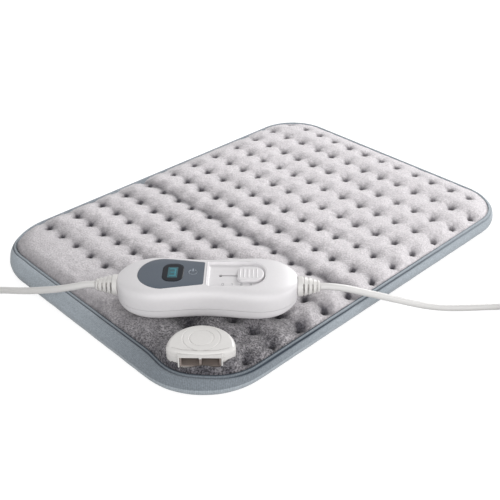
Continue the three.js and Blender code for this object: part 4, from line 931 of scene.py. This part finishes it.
def tape_profile(reach):
    """Insets and heights of the tape's section, from under its edge over its top and back."""
    top = tape_top(reach)
    radius = BINDING_RADIUS
    profile = [(radius * (1 - math.cos(angle)), radius * (1 + math.sin(angle)))
               for angle in np.linspace(-math.pi / 2, 0, 12)[:-1]]
    for share in np.concatenate([np.linspace(0, 0.5, 10)[:-1], np.linspace(0.5, 1, 52)]):
        inset = reach * (1 - math.cos(share * math.pi / 2))
        height = radius + (top - radius) * math.sin(share * math.pi / 2)
        off_stitch = (inset - reach + STITCH_FROM_SEAM) / STITCH_WIDTH
        groove = STITCH_DEPTH * np.exp(-off_stitch ** 2) * np.clip(reach / radius, 0.5, 1)
        profile.append((inset + groove * STITCH_IN, height - groove * STITCH_DOWN))
    first, second, last = HEM_FOLD
    return profile + [(reach + first, top - HEM_DROP),
                      (np.maximum(reach + second, TAPE_INSIDE), HEM_HEIGHTS[0]),
                      (TAPE_INSIDE, HEM_HEIGHTS[1]), (TAPE_INSIDE + last, TAPE_BOTTOM)]


def edge_tape():
    """Tape sewn round the edge, with a stitched groove beside its seam and slight gathers."""
    outline = pad_outline(0)
    x, y = outline.T
    way_x, way_y = edge_direction(x, y)
    steps = np.hypot(*np.diff(np.vstack([outline, outline[:1]]), axis=0).T)
    length = np.concatenate([[0], np.cumsum(steps)[:-1]])
    reach = tape_reach(x, y)
    gathers = GATHER_DEPTH * np.sin(length / GATHER_LENGTH) * np.sin(length / GATHER_GROUP)
    gathers += PUCKER_DEPTH * np.sin(length / PUCKER_LENGTH)
    stitched = STITCH_THREAD_AND_SHADE * (1 - STITCH_CORNER_LOSS * near_corner(x, y, STITCH_CORNER_SIZE))
    off_corner = np.hypot(x - NEAR_CORNER[0], y - NEAR_CORNER[1] - 1)
    rows, tones = [], []
    for inset, height in tape_profile(reach):
        inset, height, from_seam = np.broadcast_arrays(inset, height, reach - inset)
        # painted shade at the seam
        tone = TAPE_SEAM_PAINTED_SHADE * np.exp(-(from_seam / SEAM_WIDTH) ** 2)
        # stitch line: its dark thread, with painted shade in its groove
        tone += stitched * np.exp(-((from_seam - STITCH_FROM_SEAM) / STITCH_WIDTH) ** 2)
        tone *= seam_shade(x, y)
        # painted shade towards the front corner
        tone += TAPE_NEAR_PAINTED_SHADE * fade(off_corner, *TAPE_NEAR_SHADE_REACH)
        tones.append(tone * (height > BINDING_RADIUS))
        bulge = np.where(inset < reach, np.sin(np.pi * np.clip(height / TAPE_SWELL_TOP, 0, 1)), 0)
        drawn = inset + TAPE_INSET + gathers * bulge
        rows.append(np.column_stack([x - way_x * drawn, y - way_y * drawn, np.maximum(height, 0)]))
    piece = build("edge_tape", *skin(rows, ring=True), sharp=60)
    point_values(piece, "along", np.tile(length * MM, len(rows)))
    # painted shade of the tape, with its stitch thread, for its material
    point_values(piece, "tone", np.concatenate(tones))
    return dress(piece, "pad", "binding_fabric", "edge_binding")


edge_tape()


# Underside and heating layer

COVER_INSET, FLANGE_INSET, RIM = 9.3, 4.3, 4.7
UNDERSIDE_THICKNESS = 3
FLANGE_BOTTOM, FLANGE_TOP = 6, 8
CARRIER_INSET = 14.3
CARRIER_BOTTOM, CARRIER_TOP = 3.3, 5.3
BACKING = (-23, 23, -6, 20)  # the socket's backing plate in its own frame
QUILT_SIZE, QUILT_SHARPNESS = 52, 9
UNDERSIDE_HEIGHT, UNDERSIDE_QUILT, CARRIER_QUILT = 0.02, 0.5, -0.4


def quilted(lowest, depth):
    """Height of a layer that is drawn in by a lattice of stitches."""
    def height(x, y):
        turned = np.sin(np.pi * (x + y) / QUILT_SIZE) * np.sin(np.pi * (x - y) / QUILT_SIZE)
        return lowest + depth * np.exp(-np.abs(turned) * QUILT_SHARPNESS)
    return height


def level(z):
    return lambda x, y: np.full(len(x), float(z))


def underside():
    """Lining of the pad's underside, with a low rim and a margin sewn into the tape."""
    height = quilted(UNDERSIDE_HEIGHT, UNDERSIDE_QUILT)
    edge = pad_outline(COVER_INSET)
    shares = np.linspace(0.03, 1, 90)
    rows = [np.column_stack([edge * share, height(*(edge * share).T)]) for share in shares]
    inner = COVER_INSET + RIM
    rows += stacked(pad_outline, (
        (COVER_INSET, FLANGE_BOTTOM), (FLANGE_INSET, FLANGE_BOTTOM), (FLANGE_INSET, FLANGE_TOP),
        (inner, FLANGE_TOP), (inner, UNDERSIDE_THICKNESS)))
    rows.append(at_height(pad_outline(inner) * shares[0], UNDERSIDE_THICKNESS))
    return dress(build("underside", *skin(rows)), "pad", "lining_fabric", "bottom_cover")


def heating_fleece():
    """Fleece that carries the wire, open where the socket's backing plate is."""
    bottom, top = level(CARRIER_BOTTOM), quilted(CARRIER_TOP, CARRIER_QUILT)
    fleece = build("heating_fleece", *plate(lambda i: pad_outline(CARRIER_INSET + i), top, bottom,
                                            rings=60))
    cut(fleece, at_socket("opening", block(*BACKING, CARRIER_BOTTOM - 1, CARRIER_TOP + 1)))
    return dress(fleece, "pad", "carrier_fleece", "heating_carrier")


underside()
heating_fleece()


# Lead socket, in its own frame with its front towards -Y

SOCKET_BOTTOM, SOCKET_TOP = 20.7, 35
WALL_FOOT = ((0.6, 0), (0.15, 3))  # its wall's inset at heights over the bottom
ROUND_INSET, ROUND_FALL = 3.6, 3.4  # the rounding of its top edge
WALL_LINE_DROP, WALL_LINE = 5.6, ((-0.35, 0), (-0.1, 0.4), (0.1, 0.4), (0.35, 0))
RING_CENTRE, RING_RADII = (0, 9.3), (15.2, 9.8)
RING_GROOVE = ((0.7, 0), (0.3, 0.35), (-0.3, 0.35), (-0.7, 0))
RING_RISE, MIDDLE_RISE = 0.3, 0.45
COVER_WALL, COVER_TOP_WALL = 2, 2.6
INSERT_TOP = 31.5
MOUTH_SIDE, MOUTH_TOP = INSERT_HALF_WIDTH + GAP, INSERT_TOP + GAP
MOUTH_FRONT, MOUTH_BACK, MOUTH_BOTTOM = -20, 9, 12  # reach of the opening for the insert
FRAME_WALL, FRAME_FRONT, FRAME_DEPTH = 1.2, 0.9, 3.6
FRAME_LIP, FRAME_BEVEL = 1.5, 0.3
NOTCH_HALF_WIDTH, NOTCH_DEPTH, NOTCH_SUNK = 1.1, 1.3, 0.2
LINE_CORNERS = ((-23, -2.2), (-14, -5.4), (-2.6, -6.2), (0, -4.9), (2.6, -6.2), (14, -5.4),
                (23, -2.2))
LINE_SECTION = ((-0.18, -0.3), (0.18, -0.3), (0.18, 0.06), (-0.18, 0.06))


def socket_outline(inset):
    """Round at the back, a flat half ellipse at the front."""
    back = arc(0, 0, SOCKET_RADIUS - inset, 0, math.pi, 56)
    front = arc(0, 0, 1, math.pi, 2 * math.pi, 56)[1:-1]
    return np.vstack([back, front * (SOCKET_RADIUS - inset, SOCKET_FRONT - inset)])


def socket_cover():
    """Cover with a rounded top edge, a line round its wall and two ring grooves on top."""
    profile = [(inset, SOCKET_BOTTOM + height) for inset, height in WALL_FOOT]
    profile += [(inset, SOCKET_TOP - WALL_LINE_DROP + step) for step, inset in WALL_LINE]
    profile += [(ROUND_INSET * (1 - math.cos(a)), SOCKET_TOP - ROUND_FALL * (1 - math.sin(a)))
                for a in np.linspace(0, math.pi / 2, 11)]
    rows = stacked(socket_outline, profile)
    from_ring = socket_outline(ROUND_INSET) - RING_CENTRE
    turned = np.arctan2(from_ring[:, 1], from_ring[:, 0])
    ring = np.column_stack([np.cos(turned), np.sin(turned)])
    for radius in RING_RADII:
        rows += [at_height(ring * (radius + step) + RING_CENTRE, SOCKET_TOP + RING_RISE - sunk)
                 for step, sunk in RING_GROOVE]
    rows.append(at_height(ring * 0.5 + RING_CENTRE, SOCKET_TOP + MIDDLE_RISE))
    hollow = skin(stacked(socket_outline, (
        (COVER_WALL, SOCKET_BOTTOM - 2), (COVER_WALL, SOCKET_TOP - COVER_TOP_WALL))))
    mouth = block(-MOUTH_SIDE, MOUTH_SIDE, MOUTH_FRONT, MOUTH_BACK, MOUTH_BOTTOM, MOUTH_TOP)
    return fitted(at_socket, "socket_cover_smooth", skin(rows), "pad", "warm_plastic",
                  "socket_cover", taken=(hollow, mouth))


def mouth_frame():
    """Raised frame round the two slots, with a notch over their divider."""
    front, back, inside = np.array((-FRAME_FRONT, FRAME_DEPTH, -GAP)) - SOCKET_FRONT
    side, top, low = MOUTH_SIDE, MOUTH_TOP, MOUTH_TOP - FRAME_LIP
    part = joined([
        block(-side - FRAME_WALL, -side, front, back, SOCKET_BOTTOM, top + FRAME_WALL),
        block(side, side + FRAME_WALL, front, back, SOCKET_BOTTOM, top + FRAME_WALL),
        block(-side, side, front, back, top, top + FRAME_WALL),
        block(-side, side, front, inside, low, top),
        block(-NOTCH_HALF_WIDTH, NOTCH_HALF_WIDTH, front + NOTCH_SUNK, inside,
              low - NOTCH_DEPTH, low),
    ])
    piece = fitted(at_socket, "mouth_frame", part, "pad", "warm_plastic")
    bevel = piece.modifiers.new("edges", "BEVEL")
    bevel.width = FRAME_BEVEL * MM
    bevel.segments = 2
    return piece


def mouth_line():
    """Painted shade of a fine groove over the mouth along the cover's front edge: a dark strip with
    a peak over the divider.
    """
    corners_x, corners_y = np.array(LINE_CORNERS).T
    x = np.linspace(corners_x[0], corners_x[-1], 93)
    y = np.interp(x, corners_x, corners_y)
    slope = np.clip(1 + outside_socket(x, y) / ROUND_INSET, 0, 1)
    z = SOCKET_TOP - ROUND_FALL * (1 - np.sqrt(1 - slope ** 2))
    sides = [np.column_stack([x, y + over, z + rise]) for over, rise in LINE_SECTION]
    return fitted(at_socket, "mouth_line", skin(np.stack(sides, axis=1)), "pad", "warm_plastic",
                  finish="groove_shade")


socket_cover()
mouth_frame()
mouth_line()


# Controller, in its own frame: +X towards its mains end, Z from its underside

CASE_HALF_WIDTH, HEIGHT = 35, 30
PARTING, PARTING_GAP = 11, 0.15
BOTTOM_FLAT = 0.6
SHELL_WALL = 2.8
WAIST, WAIST_SPREAD = 0.245, 0.58
END_SHARE, END_POWER = 0.985, 4
TOP_POWER, BOTTOM_POWER = 5, 4.5
TOP_FALL, TOP_FALL_POWER = 0.26, 5
BOTTOM_FALL, BOTTOM_FALL_POWER = 0.7, 6
RELIEF_HOLE, RELIEF_HOLE_ENDS = 4.5, (-7, 3)  # its radius, and reach from the case's end
ABOVE, BELOW = HEIGHT + 6, PARTING + 2  # where cutters start and end that cut from above

PANEL_RADIUS, PANEL_HALF_WIDTH, PANEL_CORNER = 22.5, 17, 2
PANEL_CENTRE_X, PANEL_END_X = -37.5, -2.7
PANEL_THICKNESS, PANEL_SEAT = 1.2, 1.5
WINDOW_X, WINDOW_HALF_WIDTH, WINDOW_CORNER = (-38.55, -20.25), 13.5, 7.6
WINDOW_FIT, WINDOW_SEAT = 0.15, 2.5
TRAY_X, TRAY_HALF_WIDTH, TRAY_THICKNESS = (-1.2, 50.9), 19, 4.6
TRAY_CORNERS, TRAY_LEAST_CORNER = (3, 17), 0.6
SLOT_X, SLOT_HALF_WIDTH, SLOT_END_RADIUS = (11.3, 39.3), 0.95, 1.7
KNOB_X, KNOB_HALF_LENGTH, KNOB_HALF_WIDTH = 37, 11.3, 10.5
KNOB_BOTTOM, KNOB_TOP, KNOB_CORNERS = 27.3, 29.7, (5, 9.5)
KNOB_RIBS, KNOB_RIB_PITCH, KNOB_RIB_OFFSET = 5, 3.6, -1.8
KNOB_RIB_HALF_LENGTH, KNOB_RIB_HALF_WIDTH, KNOB_RIB_CORNER = 6.5, 0.75, 0.7

# Steps of the top edges as rows of inset and drop, and of a rib as rows of inset and height
PANEL_EDGE = ((0.15, 0.2), (0.35, 0.02), (0.7, 0))
WINDOW_EDGE = ((0, 0.3), (0.25, 0.1), (0.6, 0), (1.2, -0.05))
TRAY_EDGE = ((0.1, 0.25), (0.3, 0.05), (0.6, 0), (0.9, 0.02), (1.15, 0.2), (1.4, 0.7), (1.7, 1.5),
             (2.1, 2.3), (2.7, 2.8), (3.6, 3.0))
KNOB_EDGE = ((0, 0.9), (0.1, 0.45), (0.35, 0.14), (0.8, 0))
KNOB_RIB = ((0, 29.3), (0, 29.75), (0.15, 29.95), (0.45, 30.1))

window_outline = drawn_in(*WINDOW_X, WINDOW_HALF_WIDTH, WINDOW_CORNER, WINDOW_CORNER, 10)
tray_outline = drawn_in(*TRAY_X, TRAY_HALF_WIDTH, *TRAY_CORNERS, 16, 10, TRAY_LEAST_CORNER)
knob_outline = drawn_in(KNOB_X - KNOB_HALF_LENGTH, KNOB_X + KNOB_HALF_LENGTH, KNOB_HALF_WIDTH,
                        *KNOB_CORNERS, 12)


def panel_outline(inset):
    radius, half, end = PANEL_RADIUS - inset, PANEL_HALF_WIDTH - inset, PANEL_END_X - inset
    corner, quarter = PANEL_CORNER, math.pi / 2
    return chained([
        arc(PANEL_CENTRE_X, 0, radius, quarter, 3 * quarter, 32),
        arc(end - corner, corner - half, corner, 3 * quarter, 4 * quarter, 6),
        arc(end - corner, half - corner, corner, 0, quarter, 6),
    ], 12)


def half_width(share):
    end = (1 - (np.abs(share) * END_SHARE) ** END_POWER) ** 0.5
    return CASE_HALF_WIDTH * end * (1 - WAIST * np.exp(-((share / WAIST_SPREAD) ** 2)))


def ridge(share):
    """Height of the top's middle over the parting line."""
    return (HEIGHT - PARTING) * (1 - TOP_FALL * np.abs(share) ** TOP_FALL_POWER)


def face_height(x, y):
    share = np.asarray(x, float) / CASE_HALF_LENGTH
    across = np.clip(np.abs(y) / half_width(share), 0, 1)
    return PARTING + ridge(share) * (1 - across ** TOP_POWER) ** (1 / TOP_POWER)


def below_face(depth):
    return lambda x, y: face_height(x, y) - depth


def body_rows(inset, upper, gap=0.0):
    """Rows of one half of the body, above or below the parting line, drawn in by an inset and
    ending a gap short of the line."""
    angles = np.linspace(0, math.pi, 49)
    power = 2 / (TOP_POWER if upper else BOTTOM_POWER)
    across = np.sign(np.cos(angles)) * np.abs(np.cos(angles)) ** power
    rise = np.sin(angles) ** power
    rows = []
    for share in np.sin(np.linspace(-math.pi / 2, math.pi / 2, 97)):
        if upper:
            z = np.maximum(PARTING + rise * (ridge(share) - inset), PARTING + gap)
        else:
            fall = 1 - BOTTOM_FALL * abs(share) ** BOTTOM_FALL_POWER
            z = PARTING - rise * ((PARTING + BOTTOM_FLAT) * fall - inset)
            z = np.clip(z, inset, PARTING - gap)
        y = across * (half_width(share) - inset)
        rows.append(at_x(share * (CASE_HALF_LENGTH - inset), y, z))
    return rows


def relief_hole(side):
    rows = [section(side * x, RELIEF_HOLE, RELIEF_HOLE, steps=32) + (0, 0, RELIEF_AXIS)
            for x in np.add(CASE_HALF_LENGTH, RELIEF_HOLE_ENDS)]
    return skin(rows)


def top_shell():
    above, below = level(ABOVE), level(BELOW)
    taken = [skin(body_rows(SHELL_WALL, True)),
             plate(panel_outline, above, below_face(PANEL_SEAT)),
             plate(lambda inset: window_outline(inset - WINDOW_SEAT), above, below),
             plate(tray_outline, above, below),
             relief_hole(-1), relief_hole(1)]
    return fitted(at_controller, "top_shell_smooth", skin(body_rows(0, True, PARTING_GAP)),
                  "controller", "white_plastic", "top_shell", taken=taken)


def bottom_shell():
    return fitted(at_controller, "bottom_shell_smooth", skin(body_rows(0, False, PARTING_GAP)),
                  "controller", "white_plastic", "bottom_shell",
                  taken=[skin(body_rows(SHELL_WALL, False))])


def display_panel():
    part = plate(panel_outline, face_height, below_face(PANEL_THICKNESS), PANEL_EDGE, 14)
    seat = plate(window_outline, level(ABOVE), level(BELOW))
    return fitted(at_controller, "display_panel_smooth", part, "controller", "panel_plastic",
                  "display_panel", taken=[seat])


def display_window():
    part = plate(lambda inset: window_outline(inset + WINDOW_FIT), face_height,
                 below_face(PANEL_THICKNESS), WINDOW_EDGE)
    return fitted(at_controller, "display_window_smooth", part, "controller", "window_plastic",
                  "display_window")


def slider_tray():
    """Sunken tray with the slot of the knob's stem and a wider eye at the slot's low end."""
    part = plate(tray_outline, face_height, below_face(TRAY_THICKNESS), TRAY_EDGE, 14)
    slot = block(*SLOT_X, -SLOT_HALF_WIDTH, SLOT_HALF_WIDTH, PARTING, ABOVE)
    round_end = arc(SLOT_X[0], 0, SLOT_END_RADIUS, 0, 2 * math.pi, 24)[:-1]
    eye = skin([at_height(round_end, z) for z in (PARTING, ABOVE)])
    return fitted(at_controller, "slider_tray_smooth", part, "controller", "white_plastic",
                  "slider_tray", taken=(slot, eye))


def slider_knob():
    """Flat knob with a row of thin ribs across it."""
    parts = [plate(knob_outline, level(KNOB_TOP), level(KNOB_BOTTOM), KNOB_EDGE)]
    for k in range(KNOB_RIBS):
        x = KNOB_X + KNOB_RIB_OFFSET + (k - (KNOB_RIBS - 1) / 2) * KNOB_RIB_PITCH
        outline = drawn_in(x - KNOB_RIB_HALF_WIDTH, x + KNOB_RIB_HALF_WIDTH,
                           KNOB_RIB_HALF_LENGTH, KNOB_RIB_CORNER, KNOB_RIB_CORNER, 5)
        parts.append(skin(stacked(outline, KNOB_RIB)))
    return fitted(at_controller, "slider_knob_smooth", joined(parts), "slider", "white_plastic",
                  "slider_knob")


top_shell()
bottom_shell()
display_panel()
display_window()
slider_tray()
slider_knob()


# Strain reliefs

RELIEF_COLLAR_END, RELIEF_COLLAR_RADIUS, RELIEF_COLLAR_EDGE = 4.8, 9, 0.5
RELIEF_PITCH = 3.8
RELIEF_TAPER = 0.95  # how much the radius falls from one rib to the next
RELIEF_TIP = 1.1
RELIEF_SLOT_RADIUS, RELIEF_END_RADIUS = 3.6, 3.4
RELIEF_GROOVE_AT, RELIEF_GROOVE_REACH, RELIEF_GROOVE_DEPTH = 0.21, (0.8, 0.45), 0.7
RELIEF_SLOT_COSINE = (0.62, 0.76)
RELIEF_HEAD = ((-3, 5.3), (0, 5.3), (0, 4.2))  # from the wall's inside, and radius


def relief_radius(x, angles):
    """Radius of a strain relief outside the case: a collar, then ribs that taper. Their grooves
    are deep at the front and the back, like slots."""
    if x < RELIEF_COLLAR_END:
        from_edge = min(x - GAP, RELIEF_COLLAR_END - x) / RELIEF_COLLAR_EDGE
        rounded = RELIEF_COLLAR_EDGE * (1 - min(from_edge, 1)) ** 2
        return RELIEF_COLLAR_RADIUS - rounded + 0 * angles
    turn = (x - RELIEF_COLLAR_END) / RELIEF_PITCH
    rib = RELIEF_COLLAR_RADIUS - RELIEF_TAPER * (turn + 0.5 - RELIEF_GROOVE_AT)
    from_groove = abs(turn % 1 - RELIEF_GROOVE_AT) * RELIEF_PITCH
    groove = fade(from_groove, *RELIEF_GROOVE_REACH)
    slotted = fade(np.abs(np.cos(angles)), *RELIEF_SLOT_COSINE)
    low = rib - RELIEF_GROOVE_DEPTH
    low = low + (RELIEF_SLOT_RADIUS - low) * slotted
    tip = fade(x, RELIEF_LENGTH, RELIEF_LENGTH - RELIEF_TIP)
    return RELIEF_END_RADIUS + (rib + (low - rib) * groove - RELIEF_END_RADIUS) * tip


def strain_relief(side, node):
    """Ribbed sleeve with a head inside the case and a neck through its wall."""
    angles = np.linspace(0, 2 * math.pi, 64, endpoint=False)
    profile = [(x - SHELL_WALL - GAP, radius) for x, radius in RELIEF_HEAD]
    profile.append((GAP, RELIEF_HEAD[-1][1]))
    profile += [(x, relief_radius(x, angles)) for x in np.linspace(GAP, RELIEF_LENGTH, 150)]
    rows = [at_x(side * (CASE_HALF_LENGTH + x), radius * np.cos(angles),
                 RELIEF_AXIS + radius * np.sin(angles)) for x, radius in profile]
    return fitted(at_controller, node + "_ribbed", skin(rows), "controller", "warm_plastic", node)


strain_relief(-1, "strain_relief_pad")
strain_relief(1, "strain_relief_mains")


# Marks: a ring sign on the panel, a lit digit in the window, numbers beside the slider

DIGITS = {
    0: [[(0, 0), (1, 0), (1, 2), (0, 2), (0, 0)]],
    1: [[(0.2, 1.6), (0.6, 2), (0.6, 0)]],
    2: [[(0, 2), (1, 2), (1, 1), (0, 1), (0, 0), (1, 0)]],
    3: [[(0, 2), (1, 2), (1, 0), (0, 0)], [(0.2, 1), (1, 1)]],
}
STROKE_RISE = 0.08
SLIDER_TRAVEL, SLIDER_STOP = 23.4, 7.8
NUMBER_SIZE, NUMBER_WIDTH, NUMBER_Y, NUMBER_DROP = (1.5, 1.3), 0.4, -14, 3
DIGIT_PLACE, DIGIT_SIZE, DIGIT_WIDTH, DIGIT_DROP = (-31.8, -4.8), (4.4, 4.9), 1.2, -0.17
GROUND_LINE, GROUND_WIDTH, GROUND_DROP = [(-29.6, -3.4), (-29.6, 3.6)], 8.4, -0.05
SIGN_PLACE, SIGN_RADIUS, SIGN_BAR, SIGN_WIDTH = (-12.4, 0.7), 3.4, [(0, 1.6), (0, 4.6)], 0.95
SIGN_ENDS = (math.radians(125), math.radians(415))


def strokes(lines, corner, scale, width, drop):
    """Thin raised strokes along lines on the controller's face, sunk by a drop."""
    parts = []
    for line in lines:
        line = np.array(corner) + np.array(line, float) * scale
        for a, b in zip(line, line[1:]):
            along = (b - a) / np.linalg.norm(b - a) * width / 2
            side = np.array((-along[1], along[0]))
            outline = np.array([a - along - side, b + along - side,
                                b + along + side, a - along + side])
            face = face_height(*outline.T) - drop
            parts.append(skin([np.column_stack([outline, face + rise])
                               for rise in (-STROKE_RISE, STROKE_RISE)]))
    return joined(parts)


def slider_numbers():
    """Plain numbers beside the slider's stops."""
    low_x = KNOB_X - SLIDER_TRAVEL - NUMBER_SIZE[0] / 2
    return joined([strokes(lines, (low_x + SLIDER_STOP * number, NUMBER_Y), NUMBER_SIZE,
                           NUMBER_WIDTH, NUMBER_DROP) for number, lines in DIGITS.items()])


def ring_sign():
    """An open ring with a bar in its gap."""
    ring = arc(0, 0, SIGN_RADIUS, *SIGN_ENDS, 29)
    return strokes([ring, SIGN_BAR], SIGN_PLACE, 1, SIGN_WIDTH, 0)


for name, part, slot, finish in (
        ("slider_numbers", slider_numbers(), "white_plastic", "mark_ink"),
        ("display_ground", strokes([GROUND_LINE], (0, 0), 1, GROUND_WIDTH, GROUND_DROP),
         "window_plastic", "display_ground"),
        ("display_digit", strokes(DIGITS[3], DIGIT_PLACE, DIGIT_SIZE, DIGIT_WIDTH, DIGIT_DROP),
         "window_plastic", "display_light"),
        ("ring_sign", ring_sign(), "panel_plastic", "sign_ink")):
    fitted(at_controller, name, part, "controller", slot, finish=finish)


# Materials of the CAD nodes that show as they are

slot_of = {row["node"]: row["material_slot"] for row in frame["record"]["subparts"]}
for name, node in frame["nodes"].items():
    node.data.materials.clear()
    node.data.materials.append(materials[slot_of[name]])
    node.data.shade_smooth()
    node.data.set_sharp_from_angle(angle=math.radians(30))


# Floor, light and background

FLOOR_REACH, FLOOR_BOTTOM, FLOOR_TOP = 3000, -5, -0.05
FLOOR_COLOR, FLOOR_GLOW = (0.36, 0.36, 0.36, 1), 0.82
WHITE, SKY_STRENGTH = (1, 1, 1, 1), 0.5


def seen(tree):
    """1 for what the camera sees straight or mirrored, 0 for other light."""
    rays = add_node(tree, "LightPath").outputs
    return worked_out(tree, "MAXIMUM", rays["Is Camera Ray"], rays["Is Glossy Ray"])


def mixed(tree, lit, shown, output):
    """Ends a tree in one shader for its light and another for how it is seen."""
    choice = add_node(tree, "MixShader", {0: seen(tree), 1: lit, 2: shown})
    tree.links.new(choice.outputs["Shader"], tree.nodes[output].inputs["Surface"])


def floor():
    """Plain floor that looks white and yet catches shadows."""
    reach = FLOOR_REACH
    piece = build("floor", *block(-reach, reach, -reach, reach, FLOOR_BOTTOM, FLOOR_TOP))
    paper = bpy.data.materials.new("paper")
    paper.use_nodes = True
    tree = paper.node_tree
    tree.nodes.remove(tree.nodes["Principled BSDF"])
    diffuse = add_node(tree, "BsdfDiffuse", {"Color": FLOOR_COLOR}).outputs["BSDF"]
    glow = add_node(tree, "Emission", {"Strength": FLOOR_GLOW}).outputs["Emission"]
    both = add_node(tree, "AddShader", {0: diffuse, 1: glow}).outputs["Shader"]
    mixed(tree, diffuse, both, "Material Output")
    piece.data.materials.append(paper)


def background():
    """White background that lights the scene less than it shows."""
    world = bpy.data.worlds.new("world")
    bpy.context.scene.world = world
    world.use_nodes = True
    tree = world.node_tree
    sky = tree.nodes["Background"]
    sky.inputs["Color"].default_value = WHITE
    sky.inputs["Strength"].default_value = SKY_STRENGTH
    white = add_node(tree, "Background", {"Color": WHITE}).outputs["Background"]
    mixed(tree, sky.outputs["Background"], white, "World Output")


floor()
background()


def lamp(name, place, target, size, power):
    data = bpy.data.lights.new(name, "AREA")
    data.size = size
    data.energy = power
    lamp_object = bpy.data.objects.new(name, data)
    lamp_object.location = place
    aim = Vector(target) - Vector(place)
    lamp_object.rotation_euler = aim.to_track_quat("-Z", "Y").to_euler()
    bpy.context.scene.collection.objects.link(lamp_object)


lamp("key", (1.45, 0.37, 0.76), (0, 0, 0), 0.4, 17)
lamp("fill", (-0.85, -0.95, 0.5), (-0.1, -0.1, 0), 1.3, 11)
lamp("side", (0.7, -1.1, 0.3), (0.1, -0.1, 0), 0.6, 6)

bpy.context.scene.view_settings.view_transform = "Standard"
